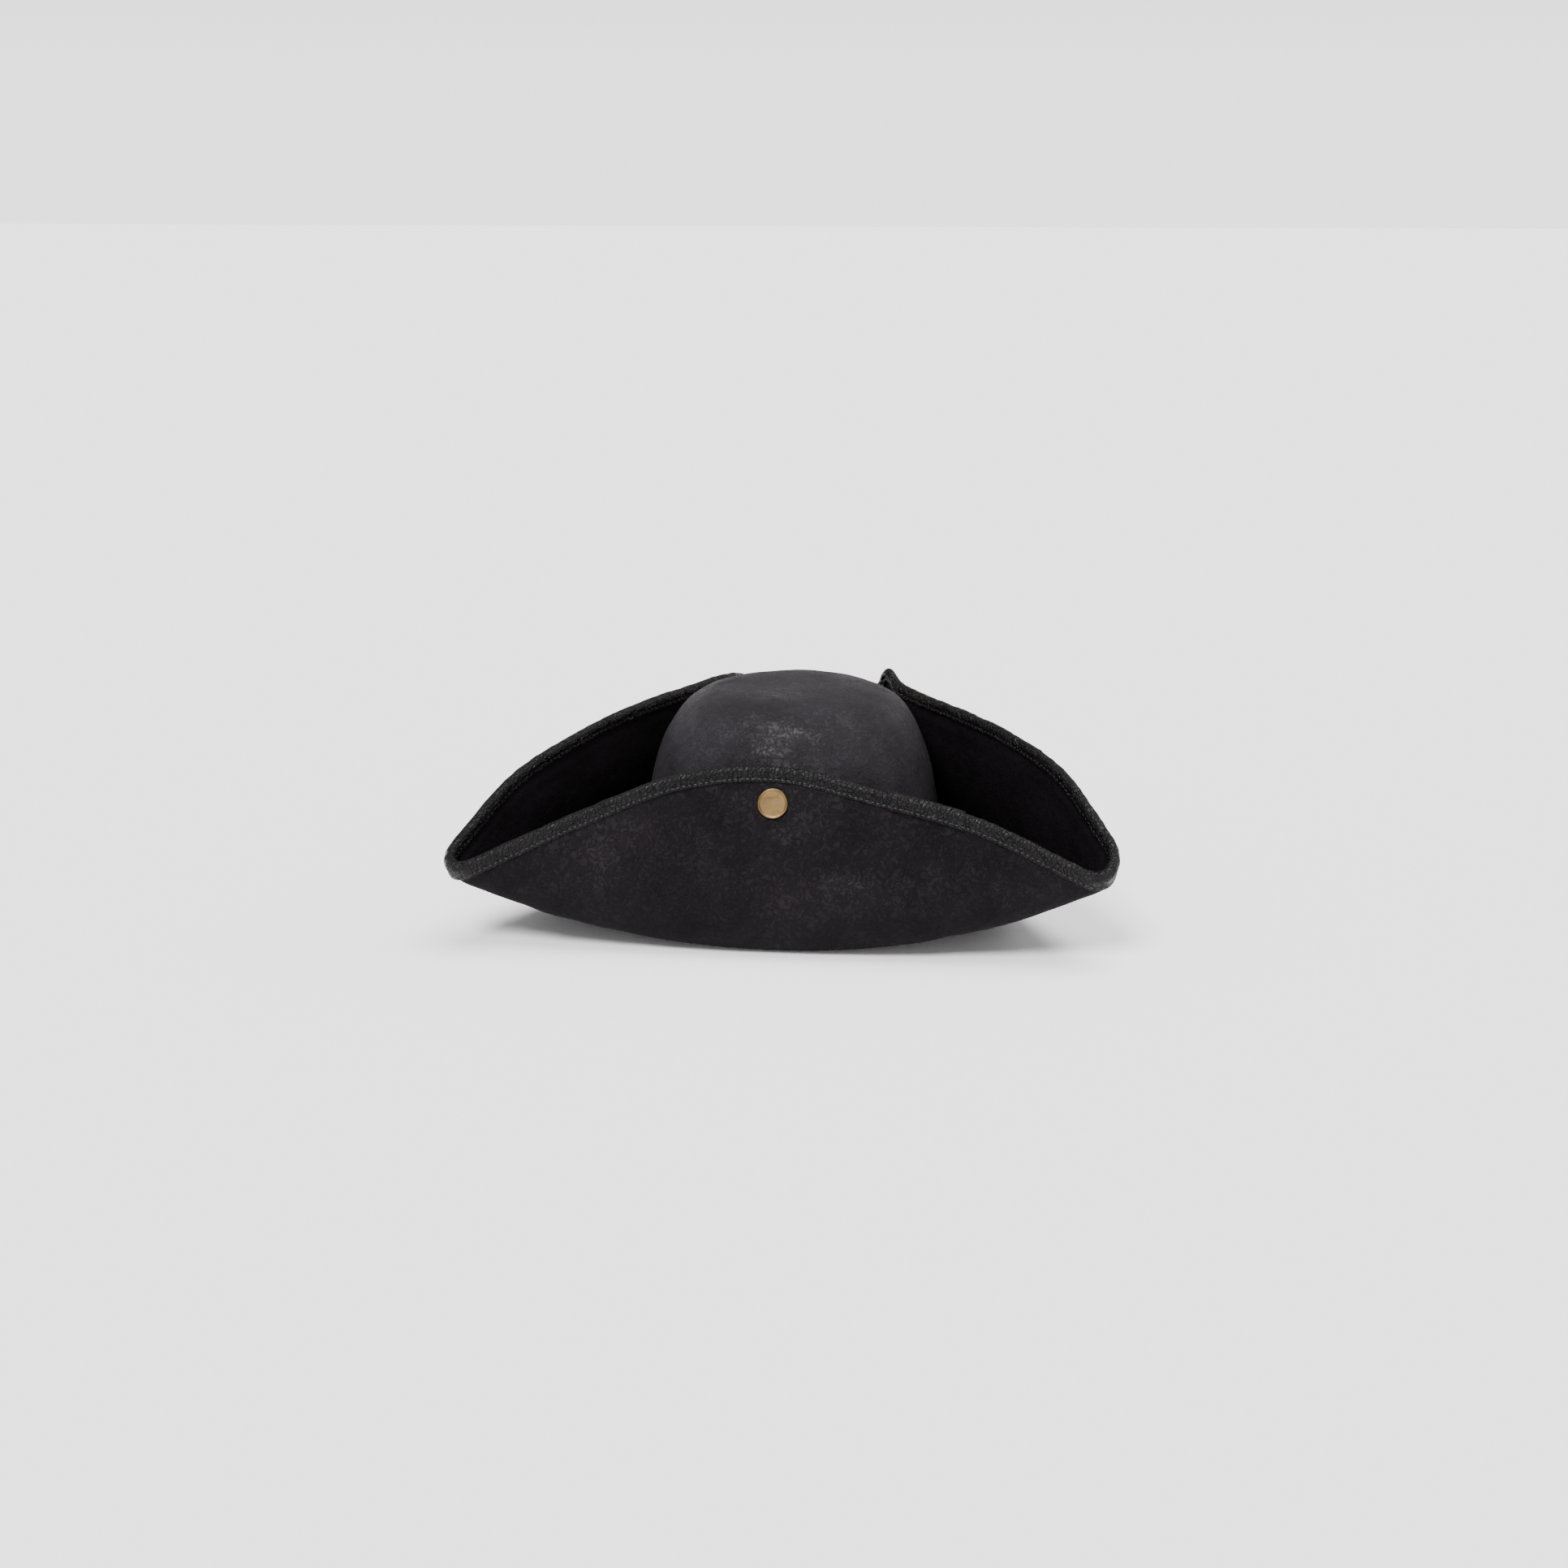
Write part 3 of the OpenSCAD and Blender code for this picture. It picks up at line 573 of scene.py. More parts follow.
def metal_group():
    """Old brass or steel: cloudy tarnish, fine scratches and small pits."""
    tree, given, result = node_group(
        "Tarnished metal",
        [("Bright", COLOR, (0.62, 0.47, 0.29, 1)), ("Tarnish", COLOR, (0.3, 0.2, 0.1, 1)),
         ("Cloud scale", FLOAT, 160.0)],
        [("Color", COLOR), ("Roughness", FLOAT), ("Height", FLOAT)],
    )
    where = add(tree, "ShaderNodeTexCoord").outputs["Object"]
    cloud = noise(tree, where, given.outputs["Cloud scale"], 5.0, 0.6, 0.6)
    pits = noise(tree, where, 1800.0, 2.0, 0.5)
    tone = span(tree, calc(tree, "MULTIPLY_ADD", pits, 0.3, cloud), 0.5, 0.95)
    color = tint(tree, tone, given.outputs["Bright"], given.outputs["Tarnish"])
    rough = calc(tree, "MULTIPLY_ADD", tone, 0.2, 0.32)
    return give_out(tree, result, Color=color, Roughness=rough, Height=pits)


def finish_from(name, group, values, bump, metallic=0.0, **shader):
    """A material whose colour, roughness and relief come from a group with its own values."""
    material = bpy.data.materials.new(name)
    material.use_nodes = True
    tree = material.node_tree
    surface = next(n for n in tree.nodes if n.type == "BSDF_PRINCIPLED")
    detail = add(tree, "ShaderNodeGroup", node_tree=group)
    for key, value in values.items():
        detail.inputs[key].default_value = value
    relief = add(tree, "ShaderNodeBump", {"Height": detail.outputs["Height"]})
    relief.inputs["Strength"].default_value = bump[0]
    relief.inputs["Distance"].default_value = bump[1] * MM
    tree.links.new(detail.outputs["Color"], surface.inputs["Base Color"])
    tree.links.new(detail.outputs["Roughness"], surface.inputs["Roughness"])
    tree.links.new(relief.outputs["Normal"], surface.inputs["Normal"])
    if "Shine" in detail.outputs:
        tree.links.new(detail.outputs["Shine"], surface.inputs["Coat Weight"])
    surface.inputs["Metallic"].default_value = metallic
    for key, value in shader.items():
        surface.inputs[key.replace("_", " ")].default_value = value
    return material


def rgb(colour, share=1.0):
    return (colour[0] * share, colour[1] * share, colour[2] * share, 1.0)


def material(name):
    found = bpy.data.materials.get(name)
    if found is None:
        raise RuntimeError(f"the finish {name} is not made yet; run hat.finishes first")
    return found


# ---- Settings ----

def length_setting(name, description, default, low, high):
    return FloatProperty(name=name, description=description, default=default * MM, min=low * MM,
                         max=high * MM, subtype="DISTANCE", unit="LENGTH", precision=5)


def colour_setting(name, description, default):
    return FloatVectorProperty(name=name, description=description, default=default, size=3, min=0.0,
                               max=1.0, subtype="COLOR")


class HatSizes(bpy.types.PropertyGroup):
    """Sizes of the hat's sewn and pressed detail"""

    cloth_wave: length_setting("Brim unevenness", "How far the brim's cloth swells", 0.45, 0, 2)
    crown_wave: length_setting("Crown unevenness", "How far the crown's skin swells", 0.45, 0, 2)
    stitch_pitch: length_setting("Stitch pitch", "Distance from one stitch to the next", 3.2, 1.5, 6)
    stitch_length: length_setting("Stitch length", "Length of each stitch that shows", 2.3, 1, 5)
    thread_radius: length_setting("Thread radius", "Half the thickness of the thread", 0.33, 0.1, 0.6)
    hem: length_setting("Edging hem", "Distance from the edging's rim to its stitches", 1.7, 1, 4)
    pucker: length_setting("Edging pucker", "How far the stitches pull the edging in", 0.55, 0, 0.6)
    cap_radius: length_setting("Cap radius", "Radius of a snap's cap", 8.5, 6, 10)
    cap_height: length_setting("Cap height", "Height of a snap's cap", 1.7, 1.2, 2.5)


class HatColours(bpy.types.PropertyGroup):
    """Colours of the hat's materials and of the stage"""

    crown: colour_setting("Crown", "Colour of the crown's nap", (0.0100, 0.0080, 0.0108))
    brim: colour_setting("Brim", "Colour of the brim's nap", (0.0045, 0.0032, 0.0042))
    edging: colour_setting("Edging", "Colour of the leather edging", (0.0019, 0.0017, 0.0019))
    lining: colour_setting("Lining", "Colour of the satin lining", (0.008, 0.0072, 0.0085))
    sweatband: colour_setting("Sweatband", "Colour of the sweatband", (0.009, 0.008, 0.0085))
    thread: colour_setting("Thread", "Colour of the sewing thread", (0.02, 0.018, 0.02))
    brass: colour_setting("Brass", "Colour of the snaps", (0.155, 0.1, 0.044))
    floor: colour_setting("Floor", "Colour of the floor", (0.93, 0.93, 0.93))


# Direction and height angle in degrees, aim and distance in metres, lens and sensor in millimetres
CAMERA_ANGLES, CAMERA_TARGET, CAMERA_DISTANCE = (6.5, 14.0), (-0.0056, 0, 0.0675), 1.5
CAMERA_LENS, CAMERA_SENSOR = 58.19, 36.0
FLOOR_HALF, FLOOR_LOW = 14.0, -0.2
# Where each light shines from, how wide it is in degrees and how strong
SUNS = (
    ("key_sun", (-0.34, -1.0, 1.25), 24.0, 4.9),
    ("top_sun", (0.3, 0.15, 1.6), 46.0, 3.6),
    ("fill_sun", (0.12, -1.0, 0.24), 40.0, 1.1),
    ("rim_sun", (1.2, 0.7, 0.9), 30.0, 0.8),
)
# Heights in the sky between which it dims, and its strength at each
SKY_LOW, SKY_HIGH, SKY_BRIGHT, SKY_DIM = 0.02, 0.22, 2.3, 0.35


class MakeStage(bpy.types.Operator):
    """Floor, lights and camera"""

    bl_idname = "hat.stage"
    bl_label = "Make the stage"

    def execute(self, context):
        scene = context.scene
        azimuth, elevation = (math.radians(angle) for angle in CAMERA_ANGLES)
        target = Vector(CAMERA_TARGET)
        back = Vector((math.sin(azimuth) * math.cos(elevation),
                       -math.cos(azimuth) * math.cos(elevation), math.sin(elevation)))
        camera = bpy.data.objects.new("camera", bpy.data.cameras.new("camera"))
        camera.data.sensor_width = CAMERA_SENSOR
        camera.data.lens = CAMERA_LENS
        camera.location = target + back * CAMERA_DISTANCE
        camera.rotation_mode = "QUATERNION"
        camera.rotation_quaternion = (-back).to_track_quat("-Z", "Y")
        scene.collection.objects.link(camera)
        scene.camera = camera

        half, low = FLOOR_HALF, FLOOR_LOW * MM
        corners = [(-half, -half, low), (half, -half, low), (half, half, low), (-half, half, low)]
        mesh = bpy.data.meshes.new("floor")
        mesh.from_pydata(corners, [], [(0, 1, 2, 3)])
        floor = bpy.data.objects.new("floor", mesh)
        paint = bpy.data.materials.new("floor_paint")
        paint.use_nodes = True
        surface = next(n for n in paint.node_tree.nodes if n.type == "BSDF_PRINCIPLED")
        surface.inputs["Base Color"].default_value = rgb(scene.hat_colours.floor)
        surface.inputs["Roughness"].default_value = 0.9
        surface.inputs["Specular IOR Level"].default_value = 0.0
        mesh.materials.append(paint)
        scene.collection.objects.link(floor)

        self.make_sky(scene)
        for name, place, angle, power in SUNS:
            light = bpy.data.lights.new(name, "SUN")
            light.angle = math.radians(angle)
            light.energy = power
            lamp = bpy.data.objects.new(name, light)
            lamp.location = place
            lamp.rotation_mode = "QUATERNION"
            lamp.rotation_quaternion = Vector(place).to_track_quat("Z", "Y")
            scene.collection.objects.link(lamp)
        return {"FINISHED"}

    def make_sky(self, scene):
        """A white studio all round, brightest level with the floor and dimmer overhead."""
        scene.world = scene.world or bpy.data.worlds.new("world")
        scene.world.use_nodes = True
        tree = scene.world.node_tree
        background = next(n for n in tree.nodes if n.type == "BACKGROUND")
        where = add(tree, "ShaderNodeTexCoord").outputs["Generated"]
        height = add(tree, "ShaderNodeSeparateXYZ", {0: where}).outputs[2]
        strength = span(tree, height, SKY_LOW, SKY_HIGH, SKY_BRIGHT, SKY_DIM)
        tree.links.new(strength, background.inputs["Strength"])
        background.inputs["Color"].default_value = (1, 1, 1, 1)


class MakeFinishes(bpy.types.Operator):
    """Materials for the cloth, leather, thread and metal"""

    bl_idname = "hat.finishes"
    bl_label = "Make the finishes"

    def execute(self, context):
        colours = context.scene.hat_colours
        nap, leather, weave, metal = nap_group(), leather_group(), weave_group(), metal_group()
        finish_from(
            "crown_nap", nap,
            {"Dark": rgb(colours.crown, 0.35), "Light": rgb(colours.crown, 1.9), "Cloud scale": 24.0,
             "Pebble scale": 560.0, "Crease scale": 170.0, "Gloss": 0.62, "Shine": 0.38},
            (1.0, 0.42), Sheen_Weight=0.01, Sheen_Roughness=0.5, IOR=1.25, Coat_Roughness=0.36,
        )
        finish_from(
            "brim_nap", nap,
            {"Dark": rgb(colours.brim, 0.5), "Light": rgb(colours.brim, 1.9), "Cloud scale": 30.0,
             "Pebble scale": 640.0, "Crease scale": 200.0, "Gloss": 0.7, "Shine": 0.12},
            (1.0, 0.42), IOR=1.18, Coat_Roughness=0.45,
        )
        finish_from(
            "edging_grain", leather,
            {"Base": rgb(colours.edging), "Worn": rgb(colours.edging, 2.2), "Grain scale": 420.0,
             "Roughness low": 0.15, "Roughness high": 0.6},
            (1.0, 0.9), IOR=1.26,
        )
        finish_from(
            "sweatband_grain", leather,
            {"Base": rgb(colours.sweatband), "Worn": rgb(colours.sweatband, 2.2), "Grain scale": 900.0,
             "Roughness low": 0.45, "Roughness high": 0.7},
            (0.4, 0.2),
        )
        finish_from(
            "lining_weave", weave,
            {"Dark": rgb(colours.lining, 0.7), "Light": rgb(colours.lining, 2.4), "Thread scale": 4200.0},
            (0.35, 0.12), Sheen_Weight=0.4, Sheen_Roughness=0.35, Specular_IOR_Level=0.6,
        )
        finish_from(
            "thread_twist", weave,
            {"Dark": rgb(colours.thread, 0.5), "Light": rgb(colours.thread, 1.6), "Thread scale": 9000.0},
            (0.6, 0.08), IOR=1.3,
        )
        finish_from(
            "snap_metal", metal,
            {"Bright": rgb(colours.brass), "Tarnish": rgb(colours.brass, 0.55), "Cloud scale": 170.0},
            (0.35, 0.05), metallic=1.0,
        )
        for node in frame["nodes"]:
            if "_snap_" in node:
                for slot in frame["nodes"][node].material_slots:
                    slot.material = material("snap_metal")
        return {"FINISHED"}


# Unevenness of the cloths, as layers of (share, size of its bumps, seed)
CROWN_LUMPS = ((0.7, 34, 11), (0.45, 15, 12), (0.18, 7, 13))
LINING_LUMPS = ((1, 20, 21),)
BRIM_LUMPS = ((0.75, 30, 31), (0.4, 13, 32), (0.15, 6, 33))
# Heights or depths of ridges, with the place of each one's middle and its width
FOOT_GROOVE, FOOT_SWELL, EDGE_PUFF = (-0.55, 4.6, 1.5), (0.35, 8.5, 2.4), (0.35, 10.5, 3.0)
# Radii round each snap inside which the crown, the lining and the brim are pressed flat
CROWN_PRESSED, LINING_PRESSED, BRIM_PRESSED = 15, 20, 16
EVEN_FOOT, SNAP_REACH = 12, 30


def near_snaps(p, reach):
    """Rises from 0 at each snap's axis to 1 further away than the reach."""
    away = np.ones(p.shape[:-1])
    for centre, facing in SNAPS:
        side = p - centre
        radial = np.linalg.norm(side - (side @ facing)[..., None] * facing, axis=-1)
        close = np.linalg.norm(side, axis=-1) < SNAP_REACH
        away = np.where(close, np.minimum(away, ease((radial - 0.6 * reach) / (0.4 * reach))), away)
    return away


def dome(half, h):
    """Points of a dome by column and row, from its foot to its pole, seen from above."""
    turn = np.arange(CROWN_COLS) * 2 * math.pi / CROWN_COLS
    share = np.cos(math.pi / 2 * np.linspace(0, LAST_RING, CROWN_ROWS)) ** RING_SPREAD
    z = height_at(share, h)
    x = half[0] * np.cos(turn)[:, None] * share
    y = half[1] * np.sin(turn)[:, None] * share
    return np.stack([x, y, np.broadcast_to(z, x.shape)], axis=-1)


def dome_out(p):
    run = np.roll(p, -1, axis=0) - np.roll(p, 1, axis=0)
    return unit(np.cross(run, np.gradient(p, axis=1)))


def make_dome(name, outer, inner, material):
    """A dome with two skins joined round its foot, each closed over at the top."""
    nu, nv = outer.shape[:2]
    n = nu * nv
    points = np.concatenate([outer.reshape(-1, 3), inner.reshape(-1, 3),
                             outer[:, -1].mean(axis=0)[None], inner[:, -1].mean(axis=0)[None]])
    i = np.arange(nu)
    i2 = (i + 1) % nu
    faces = np.concatenate([
        quads(nu, nv, 0, close_u=True), quads(nu, nv, n, close_u=True)[:, ::-1],
        np.stack([i * nv, i * nv + n, i2 * nv + n, i2 * nv], axis=-1),
    ])
    top = [[a * nv + nv - 1, b * nv + nv - 1, 2 * n] for a, b in zip(i, i2)]
    top += [[b * nv + nv - 1 + n, a * nv + nv - 1 + n, 2 * n + 1] for a, b in zip(i, i2)]
    return make_piece(name, points, faces, material, 60.0, top)


class MakeCrown(bpy.types.Operator):
    """Moulded crown with its foot seam"""

    bl_idname = "hat.crown"
    bl_label = "Make the crown"

    def execute(self, context):
        wave = context.scene.hat_sizes.crown_wave / MM
        outer = dome(CROWN_OUT, CROWN_H)
        out = dome_out(outer)
        z = outer[..., 2]
        swell = wave * uneven(outer, CROWN_LUMPS)
        swell *= ease(z / EVEN_FOOT) * near_snaps(outer, CROWN_PRESSED) * ease((CROWN_H - z) / 3 + 0.25)
        foot = ridge_at(z, *FOOT_GROOVE) + ridge_at(z, *FOOT_SWELL)
        skin = outer + out * (swell + foot)[..., None]
        inner = dome(CROWN_OUT - CROWN_WALL, CROWN_H - CROWN_WALL)
        piece = make_dome("crown_dome", skin, inner, material("crown_nap"))
        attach(piece, "crown")
        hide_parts("crown_shell")
        return {"FINISHED"}


class MakeLining(bpy.types.Operator):
    """Satin lining gathered into the crown"""

    bl_idname = "hat.lining"
    bl_label = "Make the lining"

    def execute(self, context):
        half, h = CROWN_IN - PLY_GAP, CROWN_H - CROWN_WALL - PLY_GAP
        outer = dome(half, h)
        turn = np.arange(CROWN_COLS) * 2 * math.pi / CROWN_COLS
        z = outer[..., 2]
        folds, fold_depth, slack = 25, 1.4, 0.5
        fold = 0.5 + 0.5 * np.sin(folds * turn + 1.3 * np.sin(3 * turn))[:, None]
        depth = fold_depth * fold * ease((z - BAND_H + 4) / 14) * ease((h - z) / 30 + 0.08)
        depth += slack * (1 + uneven(outer, LINING_LUMPS)) * ease((z - BAND_H) / 20)
        depth *= near_snaps(outer, LINING_PRESSED)
        skin = outer - dome_out(outer) * depth[..., None]
        inner = skin - dome_out(outer) * LINING_WALL
        piece = make_dome("crown_lining_cloth", skin, inner, material("lining_weave"))
        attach(piece, "crown")
        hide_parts("crown_lining")
        return {"FINISHED"}


class MakeSweatband(bpy.types.Operator):
    """Sweatband with its lapped ends and stitches"""

    bl_idname = "hat.sweatband"
    bl_label = "Make the sweatband"

    def execute(self, context):
        sizes = context.scene.hat_sizes
        steps, rows, lap, low = 260, 12, 0.13, 0.4
        lap_lift, ripples, ripple_depth = 1.15, 7, 0.35
        back = math.pi / 2
        turn = np.linspace(back, back + 2 * math.pi + lap, steps + 1)
        over = ease((turn - (back + 2 * math.pi) + 0.09) / 0.07)[:, None]
        z = np.linspace(low, BAND_H, rows)
        half = HEAD / 2 + BAND_WALL
        h = CROWN_H - CROWN_WALL - LINING_WALL - 2 * PLY_GAP
        share = share_at(z, h)
        ring = np.stack([np.cos(turn), np.sin(turn)], axis=-1)
        way = unit(ring / half)
        ripple = 1 + np.sin(ripples * turn)[:, None] * 0.6
        gap = (over * lap_lift + ripple_depth * ease(z / BAND_H) * ripple)[..., None]
        edge = ring[:, None] * half * share[:, None] - way[:, None] * gap
        face = way[:, None] * (BAND_WALL - 0.1 - 0.25 * ease((z - BAND_H + 2) / 2))[None, :, None]
        height = np.broadcast_to(z, edge.shape[:2])[..., None]
        outer = np.concatenate([edge, height], axis=-1)
        inner = np.concatenate([edge - face, height], axis=-1)
        piece = make_shell("sweatband_strip", outer, inner, material("sweatband_grain"))
        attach(piece, "crown")
        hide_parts("sweatband")

        seams = []
        inward = -np.concatenate([way, 0 * way[:, :1]], axis=-1)
        for level in (3.2, BAND_H - 2.6):
            at = np.argmin(np.abs(z - level))
            path = inner[:, at].copy()
            path[:, 2] = level
            seams.append(stitch_points(path, inward, sizes.stitch_pitch / MM, sizes.stitch_length / MM,
                                       sizes.thread_radius / MM))
        stitches = make_stitches("sweatband_stitches", seams, material("thread_twist"))
        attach(stitches, "crown")
        return {"FINISHED"}


def cloth_middle():
    """Middle of the brim's cloth all round, from the crown's foot to the wire."""
    lines = round_brim(lambda side, x: side.cloth_line(x))
    first = lines[:, 0]
    turn = np.arctan2(first[:, 1] / FLAT_EDGE[1], first[:, 0] / FLAT_EDGE[0])
    ring = np.stack([np.cos(turn), np.sin(turn)], axis=-1)
    low = BRIM_T / 2
    rows = [np.concatenate([ring * half, 0 * turn[:, None] + low], axis=-1)
            for half in (BRIM_HOLE, (BRIM_HOLE + FLAT_EDGE) / 2)]
    for t in np.linspace(0, 1, FLOOR_ROWS - 2, endpoint=False):
        flat = ring * FLAT_EDGE * (1 - t) + first[:, :2] * t
        rows.append(np.concatenate([flat, (low + (first[:, 2] - low) * ease(t))[:, None]], axis=-1))
    return np.concatenate([np.stack(rows, axis=1), lines], axis=1)


# How far the pressed cloth stays from a cap and a socket, and how wide it is pressed by each
CAP_CLEAR, SOCKET_CLEAR, CAP_PRESS_R, SOCKET_PRESS_R, PRESS_SLOPE = 0.18, 0.04, 8.7, 6.8, 0.75


def clear_of_snaps(p):
    """Presses the cloth flat between each snap's cap and its socket."""
    for centre, facing in SNAPS:
        side = p - centre
        level = side @ facing
        radial = np.linalg.norm(side - level[..., None] * facing, axis=-1)
        close = np.linalg.norm(side, axis=-1) < 24
        high = CAP_BOTTOM - CAP_CLEAR + np.maximum(0, radial - CAP_PRESS_R) * PRESS_SLOPE
        low = -BRIM_T / 2 + SOCKET_CLEAR - np.maximum(0, radial - SOCKET_PRESS_R) * PRESS_SLOPE
        wanted = np.clip(level, low, high)
        p = p + np.where(close, wanted - level, 0)[..., None] * facing
    return p


class MakeBrim(bpy.types.Operator):
    """Brim cloth in three pieces, each with its turned-up side"""

    bl_idname = "hat.brim"
    bl_label = "Make the brim"

    def execute(self, context):
        wave = context.scene.hat_sizes.cloth_wave / MM
        middle = cloth_middle()
        out = face_out(middle)
        drop = np.linalg.norm(middle - middle[:, -1:], axis=-1)
        z = middle[..., 2]
        swell = wave * uneven(middle, BRIM_LUMPS)
        swell *= ease((drop - 7.2) / 16) * ease((z - 4) / 14) * near_snaps(middle, BRIM_PRESSED)
        puff = ridge_at(drop, *EDGE_PUFF) * ease((drop - 7.6) / 3)
        middle = middle + out * swell[..., None]
        outer = clear_of_snaps(middle + out * (BRIM_T / 2 + puff)[..., None])
        inner = clear_of_snaps(middle - out * (BRIM_T / 2 + puff)[..., None])
        for side in SIDES:
            stations = sector(side.k)
            piece = make_shell(f"{side.name}_brim", outer[stations], inner[stations],
                               material("brim_nap"))
            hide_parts(f"{side.name}_flap", "brim_base")
            fold_with(piece, side)
        return {"FINISHED"}


EDGE_STEPS, EDGE_CORNER_STEPS = 260, 44
# Points along the lap, the part of the side over which each end thins, and by how much
LAP_STEPS, LAP_TAPER, LAP_THIN = 70, 0.006, 0.09
# Corners of the brim whose edging each side's piece takes in
OWN_CORNERS = {FRONT: (), RIGHT: ("right", "back"), LEFT: ("left",)}
STITCH_DENT_W = 0.75
DENT_BASE, DENT_BEAT = 0.45, 0.55
BEAD_LUMPS = ((0.13, 3.5, 41), (0.14, 14, 42))
STITCH_SEAT = 0.6


def arc(radius, angles):
    return [(radius * math.cos(math.radians(a)), radius * math.sin(math.radians(a))) for a in angles]


def edging_outline():
    """The edging's section: down over the outside, round its bead and under the inside."""
    foot, foot_in = SKIRT - 0.35, SKIRT_IN - 0.35
    outline = [(SKIRT, STRIP_OUT - 0.25), (foot, STRIP_OUT)]
    outline += [(foot - (foot - BEAD_R) * t, STRIP_OUT) for t in (0.2, 0.4, 0.6, 0.8)]
    outline += [(BEAD_R * 0.95, STRIP_OUT + 0.02)]
    outline += arc(BEAD_R, range(70, 291, 11))
    outline += [(BEAD_R * 0.95, -STRIP_OUT - 0.02)]
    outline += [(BEAD_R + (foot_in - BEAD_R) * t, -STRIP_OUT) for t in (0.35, 0.7, 1.0)]
    outline += [(SKIRT_IN, -STRIP_OUT + 0.25), (SKIRT_IN, -SEAT)]
    outline += [(SKIRT_IN * 0.5, -SEAT)]
    outline += arc(SEAT, range(270, 89, -30))
    outline += [(SKIRT * 0.5, SEAT), (SKIRT, SEAT)]
    return outline


def pulled(loops, outline, sizes):
    """Swells the bead a little, and pulls the strip in along its stitches."""
    pitch = sizes.stitch_pitch / MM
    steps = np.linalg.norm(np.diff(loops[:, 0], axis=0), axis=1)
    reach = np.concatenate([[0], np.cumsum(steps)])[:, None]
    shift = np.zeros(loops.shape[:2])
    beat = 0.5 + 0.5 * np.cos(reach / pitch * 2 * math.pi)
    for n, (down, out) in enumerate(outline):
        if abs(out) <= SEAT + TINY and down > -SEAT - TINY:
            continue
        skirt = SKIRT if out > 0 else SKIRT_IN
        line = skirt - sizes.hem / MM
        dent = math.exp(-((down - line) / STITCH_DENT_W) ** 2)
        shift[:, n] -= sizes.pucker / MM * dent * (DENT_BASE + DENT_BEAT * beat[:, 0])
        if down < BEAD_R:
            shift[:, n] += uneven(loops[:, n], BEAD_LUMPS) * ease((BEAD_R - down) / BEAD_R)
    centre = (loops[:, nearest(outline, 0.0, SEAT)] + loops[:, nearest(outline, 0.0, -SEAT)]) / 2
    away = unit(loops - centre[:, None])
    return loops + away * shift[..., None]


def nearest(outline, down, out):
    """Which point of the outline is closest to the place given."""
    away = [math.hypot(a - down, b - out) for a, b in outline]
    return away.index(min(away))


class MakeEdging(bpy.types.Operator):
    """Leather edging over the wire, with its lap and stitches"""

    bl_idname = "hat.edging"
    bl_label = "Make the edging"

    def execute(self, context):
        sizes = context.scene.hat_sizes
        outline = edging_outline()
        loops = round_brim(lambda side, x: side.edge_loop(x, outline), EDGE_STEPS, EDGE_CORNER_STEPS)
        hem = sizes.hem / MM
        lines = [(SKIRT - hem, STRIP_OUT), (SKIRT - hem, STRIP_OUT + 2), (SKIRT_IN - hem, -STRIP_OUT),
                 (SKIRT_IN - hem, -STRIP_OUT - 2)]
        seams = round_brim(lambda side, x: side.edge_loop(x, lines), EDGE_STEPS, EDGE_CORNER_STEPS)
        thread = (sizes.stitch_pitch / MM, sizes.stitch_length / MM, sizes.thread_radius / MM)
        sink = STITCH_SEAT * sizes.pucker / MM
        for side in SIDES:
            stations = sector(side.k, EDGE_STEPS, EDGE_CORNER_STEPS)
            own = pulled(loops[stations], outline, sizes)
            piece = make_tube(f"{side.name}_edging", own, material("edging_grain"))
            corners = OWN_CORNERS[side.k]
            replaced = [f"{side.name}_binding", f"{side.name}_wire"]
            replaced += [f"{corner}_corner_binding" for corner in corners]
            if corners:
                replaced.append("corner_wires")
            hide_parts(*replaced)
            fold_with(piece, side)
            rows = []
            for n in (0, 2):
                path = seams[stations][:, n]
                out = seams[stations][:, n + 1] - path
                rows.append(stitch_points(path - unit(out) * sink, out, *thread))
            stitches = make_stitches(f"{side.name}_edging_stitches", rows, material("thread_twist"))
            fold_with(stitches, side)
        self.make_lap(thread, hem)
        return {"FINISHED"}

    def make_lap(self, thread, hem):
        """The edging's end, lapped over its start on the front and sewn down."""
        side = SIDES[FRONT]
        x = np.linspace(LAP_FROM, LAP_TO, LAP_STEPS)
        inside = BEAD_R + PLY_GAP
        outside = inside + BINDING_T
        outline = [(SKIRT + 0.2, outside - 0.3), (SKIRT - 0.2, outside)]
        outline += [(SKIRT * t, outside) for t in (0.8, 0.6, 0.45, 0.3)]
        outline += arc(outside, range(80, 281, 10))
        outline += [(SKIRT_IN * t, -outside) for t in (0.35, 0.7, 0.95)]
        outline += [(SKIRT_IN, -outside + 0.3), (SKIRT_IN, -inside)]
        outline += arc(inside, range(270, 89, -30))
        outline += [(SKIRT * 0.5, inside), (SKIRT + 0.2, inside)]
        loops = side.edge_loop(x, outline)
        taper = np.minimum(ease((x - x[0]) / LAP_TAPER), ease((x[-1] - x) / LAP_TAPER))
        centre = side.edge_loop(x, [(0.0, 0.0)])
        thin = 1 - LAP_THIN * (1 - taper)[:, None, None]
        loops = centre + (loops - centre) * thin
        piece = make_tube("edging_lap", loops, material("edging_grain"))
        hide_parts("binding_lap")
        fold_with(piece, side)
        rows = []
        for skirt, level in ((SKIRT, outside), (SKIRT_IN, -outside)):
            pair = side.edge_loop(x, [(skirt - hem, level), (skirt - hem, level * 1.5)])
            rows.append(stitch_points(pair[:, 0], pair[:, 1] - pair[:, 0], *thread))
        stitches = make_stitches("edging_lap_stitches", rows, material("thread_twist"))
        fold_with(stitches, side)


